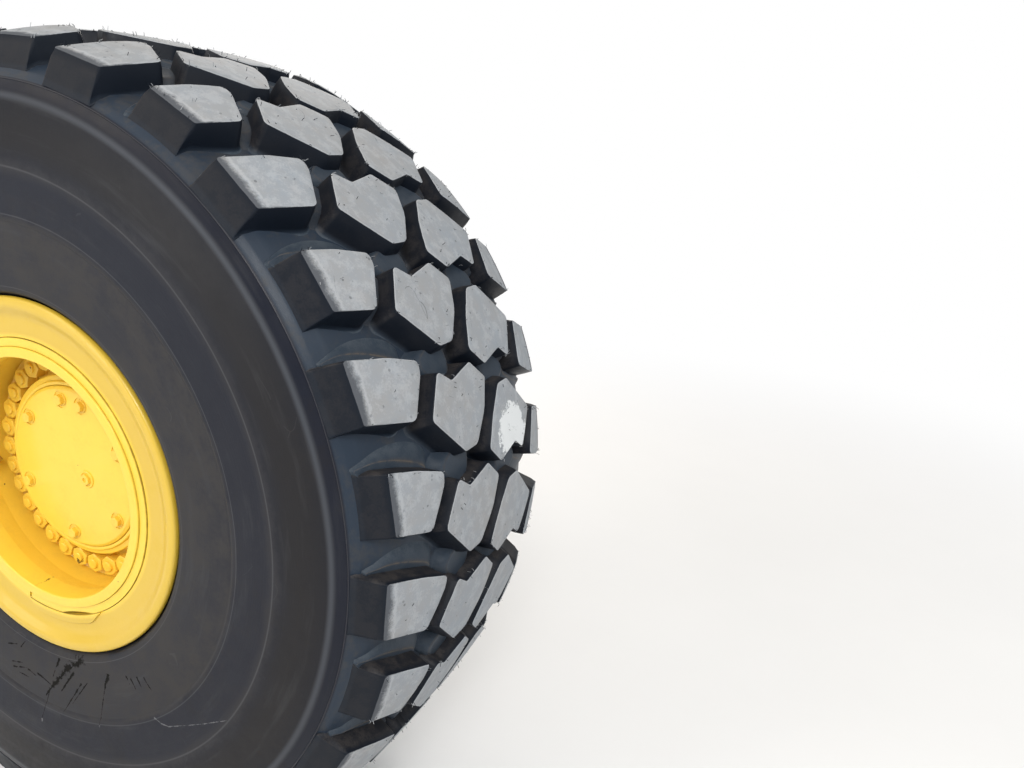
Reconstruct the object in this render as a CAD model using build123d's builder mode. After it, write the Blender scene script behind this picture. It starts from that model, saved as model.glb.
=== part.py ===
"""Earthmover wheel on its axle end: tyre, five-piece rim, planetary hub and axle arm.

Millimetres, +Z up. The wheel turns about Y. The origin is the centre of the axle arm's
bolting face, and the wheel hangs off it towards -Y, with its outer side facing -Y.
"""
import os
from math import cos, pi, radians, sin, tan

from build123d import *

os.makedirs("parts", exist_ok=True)

# Clearances
SEAT_GAP = 0.3  # between turned faces that seat on each other
RUN_GAP = 0.05  # radial running fit of a bearing seat
TURN_GAP = 6.0  # between what turns and what stands still

# Wheel
WHEEL_OFFSET = 640.0  # from the bolting face to the wheel's centre plane
RIM_WIDTH = 635.0  # between the flanges
BEAD_RADIUS = 317.5  # bead seat at the flange
BEAD_TAPER = 5.0  # degrees
FLANGE_HEIGHT = 88.9
FLANGE_PLATE = 21.0  # flange face, from the tyre side to the front
FLANGE_LIP = 36.0  # how far the rolled lip stands out from the tyre side
FLANGE_FOOT = 14.0  # how far the flange's foot reaches in under the bead

# Tyre
TREAD_RADIUS = 943.0
TREAD_PITCHES = 28
TREAD_HALF = 350.0  # half of the tread's width, at the long lugs
LUG_DEPTH = 58.0  # groove depth on the centre line
LUG_ROOT = 15.0  # how far a lug runs on into the casing
SIDEWALL_HALF = 377.0  # half of the section width
SIDEWALL_RADIUS = 720.0  # where the section is widest
SHOULDER_DROP = 109.0  # from the lug tops down to the ridge at the shoulder
CASING = 40.0  # thickness under the grooves
SIDE_THICKNESS = 36.0
BEAD_WIDTH = 78.0

# Rim
BAND_THICKNESS = 16.5  # at the flange
BAND_LENGTH = 85.0
BARREL_WALL = 12.0
LOCK_RING_FACE = 24.0  # from the flange's tyre side to the ring's front
LOCK_RING_HEIGHT = 19.0  # from the gutter's lip out to the flange
LOCK_RING_BODY = 7.0  # width of the part in front of the groove, the rest is its toe
LOCK_RING_SPLIT = 6.0
LOCK_RING_ANGLE = 195.5  # of the split, degrees from the top, turning towards +X
PRY_SLOT_ANGLE = 167.0
PRY_SLOT_LENGTH = 128.0
PRY_SLOT_DEPTH = 8.0
GROOVE_DEPTH = 7.0
GUTTER_WALL = 23.0
GUTTER_REACH = 4.0  # how far the gutter stands out past the lock ring
GUTTER_SLOPE = 60.0  # length of the slope from the gutter to the barrel
STOP_HEIGHT = 7.0  # stop that holds the inner flange
STOP_WIDTH = 8.0
DRIVER_START = 153.0  # the driver plate's ends, degrees from the top
DRIVER_END = 195.5
DRIVER_HEIGHT = 21.0
DRIVER_THICKNESS = 5.0

# Air valve
VALVE_ANGLE = -96.0
VALVE_PLACE = 246.0  # outboard of the centre plane
VALVE_LENGTH = 52.0
VALVE_STAND = 22.0  # how far the stem stands off the barrel
VALVE_RADIUS = 8.0

# Disc and wheel nuts
DISC_FACE = 205.0  # outboard face, from the centre plane
DISC_THICKNESS = 28.0
WELD = 7.0
NUT_COUNT = 32
NUT_PHASE = 1.0  # degrees
NUT_EDGE = 26.0  # from the nuts' circle to the edges of the disc and the hub flange
NUT_ACROSS = 41.0
NUT_HEIGHT = 27.0

# Hub
HUB_ROOM = 11.0  # radial room between the hub flange and the barrel
HUB_FLANGE = 30.0
HUB_STEP = 10.0  # radial steps of the hub on both sides of the disc's bore
HUB_END = 95.0  # inboard end of the drum, from the centre plane
HUB_NOSE = 40.0  # taper at the drum's inboard end
CARRIER_FACE = 252.0
CARRIER_CHAMFER = 9.0
CARRIER_RIM = 13.0
CARRIER_RECESS = 7.0
COVER_FACE = 258.0
COVER_EDGE = 5.0
COVER_BOLT_INSET = 31.0  # from the cover's edge to its bolt circle
COVER_BOLT_ANGLES = (-110, -50, -4, 18, 68, 129, 187)  # degrees from the top
COVER_BOLT_ACROSS = 24.0
COVER_BOLT_HEAD = 9.0
PLUG_X = 43.0
PLUG_Z = -18.0
PLUG_BOSS_RADIUS = 21.0
PLUG_BOSS = 3.0
PLUG_ACROSS = 22.0
PLUG_HEAD = 6.0

# Axle end
SHAFT_RADIUS = 34.0
SHAFT_REACH = 74.0  # how far the half shaft stands out of the bolting face
SPLINE_STEP = 4.0  # radial step down to the splined end
SPINDLE_END = 60.0  # outboard of the centre plane
SPINDLE_ROOM = 18.0  # radial room around the half shaft
SPINDLE_WALL = 43.0
SPINDLE_FLANGE = 22.0
BRAKE_STEP = 28.0  # how much smaller the brake housing is than the hub drum
BRAKE_LENGTH = 96.0
BRAKE_WAIST = 12.0
BRAKE_BEAD = 26.0
BRAKE_BOLT_COUNT = 18
BRAKE_BOLT_INSET = 15.0
BRAKE_BOLT_ACROSS = 22.0
BRAKE_BOLT_HEAD = 12.0
DRAIN_ACROSS = 27.0
DRAIN_HEAD = 10.0
BLEED_ACROSS = 14.0
BLEED_HEAD = 20.0
ARM_ROOM = 40.0  # radial room around the half shaft
ARM_WALL = 44.0
ARM_END_FLANGE = 20.0
ARM_RIBS = 4
RIB_THICKNESS = 18.0
RIB_HEIGHT = 26.0
AXLE_FLANGE = 30.0
AXLE_FLANGE_BAND = 23.0  # from the bolt circle to the flange's edge
FLANGE_BOLTS = 12
FLANGE_BOLT_CIRCLE = 430.0  # diameter
FLANGE_HOLE_RADIUS = 11.0
SEAL_WIDTH = 26.0

# Sizes that follow
half_rim = RIM_WIDTH / 2
flange_radius = BEAD_RADIUS + FLANGE_HEIGHT
flange_face = half_rim + FLANGE_PLATE
flange_foot = half_rim - FLANGE_FOOT
flange_bore = BEAD_RADIUS + SEAT_GAP
ring_face = half_rim + LOCK_RING_FACE
ring_step = ring_face - LOCK_RING_BODY
groove_out = ring_step + SEAT_GAP
groove_in = half_rim - SEAT_GAP
gutter_end = ring_face + GUTTER_REACH
lip_radius = BEAD_RADIUS - LOCK_RING_HEIGHT
groove_radius = lip_radius - GROOVE_DEPTH
gutter_inner = lip_radius - GUTTER_WALL
barrel_outer = BEAD_RADIUS - BAND_THICKNESS
barrel_inner = barrel_outer - BARREL_WALL
disc_back = DISC_FACE - DISC_THICKNESS
hub_flange_radius = barrel_inner - HUB_ROOM
nut_circle = hub_flange_radius - NUT_EDGE
disc_bore = nut_circle - NUT_EDGE
drum_radius = disc_bore + HUB_STEP
carrier_radius = disc_bore - HUB_STEP
carrier_rim_radius = carrier_radius - CARRIER_CHAMFER
recess_radius = carrier_rim_radius - CARRIER_RIM
cover_back = CARRIER_FACE - CARRIER_RECESS
cover_radius = recess_radius - SEAT_GAP
spindle_bore = SHAFT_RADIUS + SPINDLE_ROOM
spindle_radius = spindle_bore + SPINDLE_WALL
spindle_face = HUB_END + TURN_GAP
brake_start = spindle_face + SPINDLE_FLANGE
brake_end = brake_start + BRAKE_LENGTH
brake_radius = drum_radius - BRAKE_STEP
brake_waist_radius = brake_radius - BRAKE_WAIST
arm_bore = SHAFT_RADIUS + ARM_ROOM
arm_radius = arm_bore + ARM_WALL
arm_joint = brake_end + ARM_END_FLANGE
arm_flange_back = WHEEL_OFFSET - AXLE_FLANGE
arm_flange_radius = FLANGE_BOLT_CIRCLE / 2 + AXLE_FLANGE_BAND

wheel_centre = Plane(origin=(0, -WHEEL_OFFSET, 0), x_dir=(1, 0, 0), z_dir=(0, 0, 1))


def between(first, second, share):
    """Value that lies a share of the way from first to second."""
    return first + (second - first) * share


def seat_radius(distance):
    """Radius of the tapered bead seat at a distance from the centre plane."""
    return BEAD_RADIUS - (half_rim - abs(distance)) * tan(radians(BEAD_TAPER))


def section(*outline):
    """Closed outline of (radius, distance from the wheel's centre plane), as a sketch."""
    with BuildSketch(wheel_centre) as profile:
        with BuildLine():
            Polyline(*outline, close=True)
        make_face()
    return profile.sketch


def turned(*outline):
    """Revolve an outline of (radius, distance from the wheel's centre plane)."""
    revolve(section(*outline), axis=Axis.Y)


def facing(direction, radius, angle, distance):
    """Plane across the axis, facing -Y (-1) or +Y (+1), at an angle from the top."""
    turn = radians(angle)
    return Plane(
        origin=(radius * sin(turn), -WHEEL_OFFSET + distance, radius * cos(turn)),
        x_dir=(-direction * cos(turn), 0, direction * sin(turn)),
        z_dir=(0, direction, 0),
    )


# Tyre casing, with three flats for two pitches of the tread
floor = TREAD_RADIUS - LUG_DEPTH
ridge = TREAD_RADIUS - SHOULDER_DROP
bead_face = half_rim - SEAT_GAP
toe = half_rim - BEAD_WIDTH
casing_half = (
    (floor, TREAD_HALF * 0.4),
    (between(floor, ridge, 0.6), TREAD_HALF * 0.96),
    (ridge, SIDEWALL_HALF - 7),
    (SIDEWALL_RADIUS, SIDEWALL_HALF),
    (flange_radius + 24, half_rim + FLANGE_LIP),
    (flange_radius - 26, bead_face),
    (BEAD_RADIUS + 24, bead_face),
    (seat_radius(bead_face - 16) + SEAT_GAP, bead_face - 16),
    (seat_radius(toe) + SEAT_GAP, toe),
    (SIDEWALL_RADIUS, SIDEWALL_HALF - SIDE_THICKNESS),
    (between(floor - CASING, SIDEWALL_RADIUS, 0.35), SIDEWALL_HALF - 2 * SIDE_THICKNESS),
    (floor - CASING, TREAD_HALF * 0.4),
)
casing_outline = casing_half + tuple((radius, -across) for radius, across in reversed(casing_half))

flats = 3 * TREAD_PITCHES // 2
flat_turn = 2 * pi / flats
corner_radius = SIDEWALL_RADIUS / cos(flat_turn / 2)
path_start = (SIDEWALL_RADIUS, -WHEEL_OFFSET, 0)
casing_corners = [
    (corner_radius * cos((k + 0.5) * flat_turn), -WHEEL_OFFSET, corner_radius * sin((k + 0.5) * flat_turn))
    for k in range(flats)
]

# Lug outlines, as points of (share of TREAD_HALF, share of a pitch)
crown_lug = (
    (-0.48, 0.50),
    (-0.32, 0.58),
    (-0.09, 0.51),
    (0.04, 0.70),
    (-0.04, 0.99),
    (-0.21, 1.26),
    (-0.32, 1.25),
    (-0.60, 0.89),
)
long_lug = ((-1.0, 0.095), (-0.76, 0.19), (-0.57, 0.32), (-0.57, 0.38), (-0.72, 0.78), (-1.0, 0.67))
short_lug = ((-0.93, 0.12),) + long_lug[1:-1] + ((-0.93, 0.70),)
TURN_SHARE = 1.077  # the outlines come back turned half round, at this share less their own
# Outline, first pitch, step in pitches, drop of the lug top at its inner and outer edges
lug_rows = (
    (crown_lug, 0, 1, 0.0, 6.0),
    (long_lug, 1, 2, 6.0, 47.0),
    (short_lug, 0, 2, 6.0, 40.0),
)
lug_pitch = 2 * pi * TREAD_RADIUS / TREAD_PITCHES


def lug(points, middle, lift, slope, turn):
    """One lug, straight down from its sloping top, at an angle round the tyre."""
    top = Plane(
        origin=(lift * sin(turn), -WHEEL_OFFSET, lift * cos(turn)),
        x_dir=(slope * sin(turn), 1, slope * cos(turn)),
        z_dir=(sin(turn), -slope, cos(turn)),
    )
    with BuildSketch(top) as outline:
        with BuildLine():
            Polyline(
                *((across * TREAD_HALF, (middle - along) * lug_pitch) for across, along in points),
                close=True,
            )
        make_face()
    down = (-sin(turn), 0, -cos(turn))
    return extrude(outline.sketch, amount=LUG_DEPTH + LUG_ROOT, dir=down, mode=Mode.PRIVATE)


def lug_row(outline, first, step, inner_drop, outer_drop, side):
    """The lugs of one row on the outboard (-1) or inboard (+1) half of the tread."""
    points = outline if side < 0 else [(-across, TURN_SHARE - along) for across, along in outline]
    middle = sum(along for across, along in points) / len(points)
    inner_edge = min(abs(across) for across, along in points) * TREAD_HALF
    outer_edge = max(abs(across) for across, along in points) * TREAD_HALF
    slope = side * (inner_drop - outer_drop) / (outer_edge - inner_edge)
    lift = TREAD_RADIUS - inner_drop - slope * side * inner_edge
    counts = range(first, TREAD_PITCHES, step)
    return [lug(points, middle, lift, slope, (middle + count) * 2 * pi / TREAD_PITCHES) for count in counts]


with BuildPart() as tyre:
    with BuildLine() as casing_path:
        Polyline(path_start, *casing_corners, path_start)
    sweep(section(*casing_outline), path=casing_path.line, transition=Transition.RIGHT)
    add([one for row in lug_rows for side in (-1, 1) for one in lug_row(*row, side)])
tyre.part.label = "tyre"
export_step(tyre.part, "parts/tyre.step")

# Rim base: gutter with the lock ring groove, barrel, and the fixed seat of the inner flange
with BuildPart() as rim_base:
    turned(
        (gutter_inner, -gutter_end),
        (lip_radius, -gutter_end),
        (lip_radius, -groove_out),
        (groove_radius, -groove_out),
        (groove_radius, -groove_in),
        (barrel_outer, -groove_in),
        (barrel_outer, toe),
        (BEAD_RADIUS, half_rim),
        (BEAD_RADIUS, flange_face + SEAT_GAP),
        (BEAD_RADIUS + STOP_HEIGHT, flange_face + SEAT_GAP),
        (BEAD_RADIUS + STOP_HEIGHT, flange_face + STOP_WIDTH),
        (barrel_inner, flange_face + STOP_WIDTH),
        (barrel_inner, -groove_in + GUTTER_SLOPE),
        (gutter_inner, -groove_in),
    )
rim_base.part.label = "rim_base"
export_step(rim_base.part, "parts/rim_base.step")


def flange_outline(side):
    """Outline of the rolled flange ring outboard (-1) or inboard (+1)."""
    return (
        (flange_radius, side * (half_rim + FLANGE_LIP * 0.7)),
        (flange_radius - 5, side * (half_rim + FLANGE_LIP)),
        (flange_radius - 17, side * (half_rim + FLANGE_LIP)),
        (flange_radius - 44, side * flange_face),
        (flange_bore, side * flange_face),
        (flange_bore, side * flange_foot),
        (BEAD_RADIUS + 16, side * half_rim),
        (flange_radius - 28, side * half_rim),
        (flange_radius - 4, side * (half_rim + FLANGE_LIP / 2)),
    )


with BuildPart() as outer_flange:
    turned(*flange_outline(-1))
outer_flange.part.label = "outer_flange"
export_step(outer_flange.part, "parts/outer_flange.step")

with BuildPart() as inner_flange:
    turned(*flange_outline(1))
inner_flange.part.label = "inner_flange"
export_step(inner_flange.part, "parts/inner_flange.step")

# Bead seat band, wedged on the rim base by the lock ring
band_toe = groove_in - BAND_LENGTH
with BuildPart() as bead_seat_band:
    turned(
        (barrel_outer + SEAT_GAP, -band_toe),
        (seat_radius(band_toe), -band_toe),
        (seat_radius(groove_in), -groove_in),
        (barrel_outer + SEAT_GAP, -groove_in),
    )
bead_seat_band.part.label = "bead_seat_band"
export_step(bead_seat_band.part, "parts/bead_seat_band.step")

# Lock ring, with its split and the slot for the pry bar
ring_outer = BEAD_RADIUS - SEAT_GAP
with BuildPart() as lock_ring:
    turned(
        (lip_radius + SEAT_GAP, -ring_face),
        (ring_outer, -ring_face),
        (ring_outer, -half_rim),
        (groove_radius + SEAT_GAP, -half_rim),
        (groove_radius + SEAT_GAP, -ring_step),
        (lip_radius + SEAT_GAP, -ring_step),
    )
    with BuildSketch(facing(-1, lip_radius, LOCK_RING_ANGLE, -half_rim)):
        Rectangle(LOCK_RING_SPLIT, 4 * LOCK_RING_HEIGHT)
    with BuildSketch(facing(-1, BEAD_RADIUS, PRY_SLOT_ANGLE, -half_rim)):
        Rectangle(PRY_SLOT_LENGTH, 2 * PRY_SLOT_DEPTH)
    extrude(amount=2 * LOCK_RING_FACE, both=True, mode=Mode.SUBTRACT)
lock_ring.part.label = "lock_ring"
export_step(lock_ring.part, "parts/lock_ring.step")

# Driver plate that keys the flange to the rim
with BuildPart() as driver_plate:
    plate = section(
        (flange_bore, -flange_face),
        (flange_bore + DRIVER_HEIGHT, -flange_face),
        (flange_bore + DRIVER_HEIGHT - 2, -flange_face - DRIVER_THICKNESS),
        (flange_bore, -flange_face - DRIVER_THICKNESS),
    )
    revolve(plate.rotate(Axis.Y, DRIVER_START - 90), axis=Axis.Y, revolution_arc=DRIVER_END - DRIVER_START)
driver_plate.part.label = "driver_plate"
export_step(driver_plate.part, "parts/driver_plate.step")

# Air valve in the barrel wall, bent towards the outside
valve_turn = radians(VALVE_ANGLE)
valve_plane = Plane(
    origin=(0, -WHEEL_OFFSET, 0),
    x_dir=(sin(valve_turn), 0, cos(valve_turn)),
    z_dir=(-cos(valve_turn), 0, sin(valve_turn)),
)
valve_foot = barrel_inner - SEAT_GAP
with BuildPart() as air_valve:
    with BuildLine(valve_plane) as route:
        Polyline(
            (valve_foot, -VALVE_PLACE),
            (valve_foot - VALVE_STAND, -VALVE_PLACE),
            (valve_foot - VALVE_STAND - 8, -VALVE_PLACE - VALVE_LENGTH),
        )
    with BuildSketch(Plane(origin=route.line @ 0, z_dir=route.line % 0)):
        Circle(VALVE_RADIUS)
    sweep(path=route.line, transition=Transition.RIGHT)
air_valve.part.label = "air_valve"
export_step(air_valve.part, "parts/air_valve.step")

# Disc, welded in the barrel
disc_outer = barrel_inner - SEAT_GAP
with BuildPart() as wheel_disc:
    turned(
        (disc_bore, -DISC_FACE),
        (disc_outer - WELD, -DISC_FACE),
        (disc_outer, -DISC_FACE - WELD),
        (disc_outer, -disc_back),
        (disc_bore, -disc_back),
    )
wheel_disc.part.label = "wheel_disc"
export_step(wheel_disc.part, "parts/wheel_disc.step")

with BuildPart() as wheel_nuts:
    for count in range(NUT_COUNT):
        with BuildSketch(facing(-1, nut_circle, NUT_PHASE + count * 360 / NUT_COUNT, -DISC_FACE)):
            RegularPolygon(NUT_ACROSS / 2, 6, major_radius=False)
    extrude(amount=NUT_HEIGHT)
wheel_nuts.part.label = "wheel_nuts"
export_step(wheel_nuts.part, "parts/wheel_nuts.step")

# Hub drum with the seat of the wheel bearings
hub_pilot = disc_bore - SEAT_GAP
with BuildPart() as hub:
    turned(
        (0, -DISC_FACE),
        (hub_pilot, -DISC_FACE),
        (hub_pilot, -disc_back),
        (hub_flange_radius, -disc_back),
        (hub_flange_radius, -disc_back + HUB_FLANGE),
        (drum_radius, -disc_back + HUB_FLANGE + HUB_STEP),
        (drum_radius, HUB_END - HUB_NOSE),
        (drum_radius - HUB_NOSE, HUB_END),
        (spindle_radius + RUN_GAP, HUB_END),
        (spindle_radius + RUN_GAP, -SPINDLE_END - TURN_GAP),
        (0, -SPINDLE_END - TURN_GAP),
    )
hub.part.label = "hub"
export_step(hub.part, "parts/hub.step")

# Planet carrier that closes the hub, recessed for its cover
with BuildPart() as planet_carrier:
    turned(
        (0, -DISC_FACE),
        (carrier_radius, -DISC_FACE),
        (carrier_radius, -CARRIER_FACE + CARRIER_CHAMFER),
        (carrier_rim_radius, -CARRIER_FACE),
        (recess_radius, -CARRIER_FACE),
        (recess_radius, -cover_back),
        (0, -cover_back),
    )
planet_carrier.part.label = "planet_carrier"
export_step(planet_carrier.part, "parts/planet_carrier.step")

# Hub cover with the boss of its level plug
plug_plane = Plane(origin=(PLUG_X, -WHEEL_OFFSET - COVER_FACE, PLUG_Z), x_dir=(1, 0, 0), z_dir=(0, -1, 0))
with BuildPart() as hub_cover:
    turned(
        (0, -cover_back),
        (cover_radius, -cover_back),
        (cover_radius - COVER_EDGE, -COVER_FACE),
        (0, -COVER_FACE),
    )
    with BuildSketch(plug_plane):
        Circle(PLUG_BOSS_RADIUS)
    extrude(amount=PLUG_BOSS)
hub_cover.part.label = "hub_cover"
export_step(hub_cover.part, "parts/hub_cover.step")

with BuildPart() as cover_bolts:
    for angle in COVER_BOLT_ANGLES:
        with BuildSketch(facing(-1, cover_radius - COVER_BOLT_INSET, angle, -COVER_FACE)):
            RegularPolygon(COVER_BOLT_ACROSS / 2, 6, major_radius=False)
    extrude(amount=COVER_BOLT_HEAD)
cover_bolts.part.label = "cover_bolts"
export_step(cover_bolts.part, "parts/cover_bolts.step")

with BuildPart() as level_plug:
    with BuildSketch(plug_plane.offset(PLUG_BOSS)):
        RegularPolygon(PLUG_ACROSS / 2, 6, major_radius=False)
    extrude(amount=PLUG_HEAD)
level_plug.part.label = "level_plug"
export_step(level_plug.part, "parts/level_plug.step")

# Spindle: the fixed tube that the hub turns on
with BuildPart() as spindle:
    turned(
        (spindle_bore, -SPINDLE_END),
        (spindle_radius, -SPINDLE_END),
        (spindle_radius, spindle_face),
        (brake_waist_radius, spindle_face),
        (brake_waist_radius, brake_start),
        (spindle_bore, brake_start),
    )
spindle.part.label = "spindle"
export_step(spindle.part, "parts/spindle.step")

# Wet brake housing, its bolts, and the drain plug and bleed screw in its waist
with BuildPart() as brake_housing:
    turned(
        (arm_bore, brake_start),
        (brake_radius, brake_start),
        (brake_radius, brake_start + BRAKE_BEAD),
        (brake_waist_radius, brake_start + BRAKE_BEAD),
        (brake_waist_radius, brake_end - BRAKE_BEAD),
        (brake_radius, brake_end - BRAKE_BEAD),
        (brake_radius, brake_end),
        (arm_bore, brake_end),
    )
brake_housing.part.label = "brake_housing"
export_step(brake_housing.part, "parts/brake_housing.step")

brake_bolt_circle = brake_radius - BRAKE_BOLT_INSET
with BuildPart() as brake_bolts:
    for count in range(BRAKE_BOLT_COUNT):
        with BuildSketch(facing(1, brake_bolt_circle, (count + 0.5) * 360 / BRAKE_BOLT_COUNT, arm_joint)):
            RegularPolygon(BRAKE_BOLT_ACROSS / 2, 6, major_radius=False)
    extrude(amount=BRAKE_BOLT_HEAD)
brake_bolts.part.label = "brake_bolts"
export_step(brake_bolts.part, "parts/brake_bolts.step")

port_place = -WHEEL_OFFSET + (brake_start + brake_end) / 2
with BuildPart() as drain_plug:
    with BuildSketch(Plane(origin=(0, port_place, -brake_waist_radius), x_dir=(1, 0, 0), z_dir=(0, 0, -1))):
        RegularPolygon(DRAIN_ACROSS / 2, 6, major_radius=False)
    extrude(amount=DRAIN_HEAD)
drain_plug.part.label = "drain_plug"
export_step(drain_plug.part, "parts/drain_plug.step")

with BuildPart() as bleed_screw:
    with BuildSketch(Plane(origin=(0, port_place, brake_waist_radius), x_dir=(1, 0, 0), z_dir=(0, 0, 1))):
        RegularPolygon(BLEED_ACROSS / 2, 6, major_radius=False)
    extrude(amount=BLEED_HEAD)
bleed_screw.part.label = "bleed_screw"
export_step(bleed_screw.part, "parts/bleed_screw.step")

# Axle arm: a tapered, ribbed casting from the brake housing to the bolting face
bolt_land = brake_radius - 2 * BRAKE_BOLT_INSET
root_radius = between(arm_radius, arm_flange_radius, 0.5)
arm_waist_start = between(arm_joint, arm_flange_back, 0.3)
arm_waist_end = between(arm_joint, arm_flange_back, 0.8)
with BuildPart() as axle_arm:
    turned(
        (arm_bore, brake_end),
        (brake_radius, brake_end),
        (brake_radius, arm_joint),
        (bolt_land, arm_joint),
        (arm_radius, arm_waist_start),
        (arm_radius, arm_waist_end),
        (root_radius, arm_flange_back),
        (arm_flange_radius, arm_flange_back),
        (arm_flange_radius, WHEEL_OFFSET),
        (arm_bore, WHEEL_OFFSET),
    )
    for count in range(ARM_RIBS):
        turn = count * 2 * pi / ARM_RIBS
        rib_plane = Plane(
            origin=(0, -WHEEL_OFFSET, 0),
            x_dir=(sin(turn), 0, cos(turn)),
            z_dir=(-cos(turn), 0, sin(turn)),
        )
        with BuildSketch(rib_plane):
            with BuildLine():
                Polyline(
                    (arm_radius - 8, arm_joint - 8),
                    (bolt_land, arm_joint - 8),
                    (arm_radius + RIB_HEIGHT, arm_waist_start),
                    (arm_radius + RIB_HEIGHT, arm_waist_end),
                    (root_radius + RIB_HEIGHT, arm_flange_back + 8),
                    (arm_radius - 8, arm_flange_back + 8),
                    close=True,
                )
            make_face()
        extrude(amount=RIB_THICKNESS / 2, both=True)
    with Locations(Plane.XZ):
        with PolarLocations(FLANGE_BOLT_CIRCLE / 2, FLANGE_BOLTS):
            Cylinder(FLANGE_HOLE_RADIUS, 4 * AXLE_FLANGE, mode=Mode.SUBTRACT)
axle_arm.part.label = "axle_arm"
export_step(axle_arm.part, "parts/axle_arm.step")

# Shaft seal in the mouth of the arm, and the half shaft that it holds in line
with BuildPart() as shaft_seal:
    turned(
        (SHAFT_RADIUS + RUN_GAP, WHEEL_OFFSET - SEAL_WIDTH),
        (arm_bore - SEAT_GAP, WHEEL_OFFSET - SEAL_WIDTH),
        (arm_bore - SEAT_GAP, WHEEL_OFFSET),
        (SHAFT_RADIUS + RUN_GAP, WHEEL_OFFSET),
    )
shaft_seal.part.label = "shaft_seal"
export_step(shaft_seal.part, "parts/shaft_seal.step")

spline_radius = SHAFT_RADIUS - SPLINE_STEP
with BuildPart() as half_shaft:
    turned(
        (0, -SPINDLE_END + TURN_GAP),
        (SHAFT_RADIUS, -SPINDLE_END + TURN_GAP),
        (SHAFT_RADIUS, WHEEL_OFFSET + TURN_GAP),
        (spline_radius, WHEEL_OFFSET + TURN_GAP),
        (spline_radius, WHEEL_OFFSET + SHAFT_REACH),
        (0, WHEEL_OFFSET + SHAFT_REACH),
    )
half_shaft.part.label = "half_shaft"
export_step(half_shaft.part, "parts/half_shaft.step")
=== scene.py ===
"""Looks of an earthmover wheel on its axle end.

Metres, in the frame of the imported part: the origin is the centre of the axle arm's bolting
face, the wheel hangs off it towards -Y and turns about Y, and its outer side faces -Y. Places
on the wheel are given as a radius, a distance from its centre plane along Y, and an angle from
the top that grows towards +X.
"""

import logging
import random
from dataclasses import dataclass
from enum import Enum
from math import cos, pi, radians, sin, sqrt, tan
from typing import Callable, Optional, Sequence, Union

import bmesh
import bpy
from mathutils import Matrix, Vector

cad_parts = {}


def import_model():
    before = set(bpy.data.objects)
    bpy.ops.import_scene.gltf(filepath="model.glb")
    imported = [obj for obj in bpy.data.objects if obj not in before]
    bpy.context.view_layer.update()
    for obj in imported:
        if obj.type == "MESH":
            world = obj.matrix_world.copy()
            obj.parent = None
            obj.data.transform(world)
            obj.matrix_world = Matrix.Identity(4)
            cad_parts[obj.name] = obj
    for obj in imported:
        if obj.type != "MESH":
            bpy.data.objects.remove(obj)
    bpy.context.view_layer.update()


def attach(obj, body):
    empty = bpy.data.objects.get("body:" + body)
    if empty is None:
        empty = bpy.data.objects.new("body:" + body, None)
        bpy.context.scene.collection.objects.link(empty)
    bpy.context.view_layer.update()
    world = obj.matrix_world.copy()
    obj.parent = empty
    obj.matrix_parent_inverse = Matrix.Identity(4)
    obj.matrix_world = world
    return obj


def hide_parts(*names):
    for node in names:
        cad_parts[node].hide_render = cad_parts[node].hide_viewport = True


log = logging.getLogger("wheel")

Point = tuple[float, float]
Corner = Sequence[float]
Colour = tuple[float, float, float]
Stroke = tuple[Point, Point, float]
Mesh = bpy.types.Mesh
Value = Union["Signal", float, Sequence[float]]

WHEEL_PLANE = -0.640
TREAD_RADIUS = 0.943
TREAD_PITCHES = 28
PITCH_TURN = 2 * pi / TREAD_PITCHES
HALF_RIM = 0.3175
BEAD_RADIUS = 0.3175
FLOOR_HEIGHT = -0.943
OIL_SPOT: Stroke = ((-0.050, -0.252), (-0.059, -0.266), 0.0065)
ARC_STEP = radians(18)
SHARP_ANGLE = radians(38)
FASTENER_SHARP = radians(25)
SQUARE = ((-1, -1), (1, -1), (1, 1), (-1, 1))


class Body(Enum):
    """The bodies of the frame."""

    AXLE = "axle"
    WHEEL = "wheel"
    HALF_SHAFT = "half_shaft"


class Look(Enum):
    """What a piece is made of: its finish, and the slot and the body that go with it."""

    LUG = ("tyre_lug_rubber", "tyre_rubber", Body.WHEEL)
    CASING = ("tyre_casing_rubber", "tyre_rubber", Body.WHEEL)
    WHEEL_PAINT = ("wheel_yellow", "wheel_paint", Body.WHEEL)
    BOLT_PAINT = ("bolt_yellow", "bolt_paint", Body.WHEEL)
    AXLE_PAINT = ("axle_dark", "axle_paint", Body.AXLE)
    STEEL = ("turned_steel", "shaft_steel", Body.HALF_SHAFT)
    SEAL = ("seal_black", "seal_rubber", Body.AXLE)
    BRASS = ("dull_brass", "valve_brass", Body.WHEEL)

    def __init__(self, finish: str, slot: str, body: Body) -> None:
        """Keep what goes with the look."""
        self.finish, self.slot, self.body = finish, slot, body


class Side(Enum):
    """The two sides of the wheel, as the sign of their distance from its centre plane."""

    OUTER = -1
    INNER = 1


def polar(radius: float, distance: float, turn: float) -> Vector:
    """Point on the wheel.

    Args:
        radius: Distance from the axis.
        distance: Distance from the wheel's centre plane, towards the machine.
        turn: Angle from the top towards +X, in radians.

    Returns:
        The point in the row frame.
    """
    return Vector((radius * sin(turn), WHEEL_PLANE + distance, radius * cos(turn)))


def turns(count: int, phase: float = 0.0) -> list[float]:
    """Angles spread evenly round a circle, in radians, from a first one."""
    return [phase + 2 * pi * k / count for k in range(count)]


def ease(value: float, low: float, high: float) -> float:
    """Smooth step from 0 at low to 1 at high."""
    share = min(1.0, max(0.0, (value - low) / (high - low)))
    return share * share * (3 - 2 * share)


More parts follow.
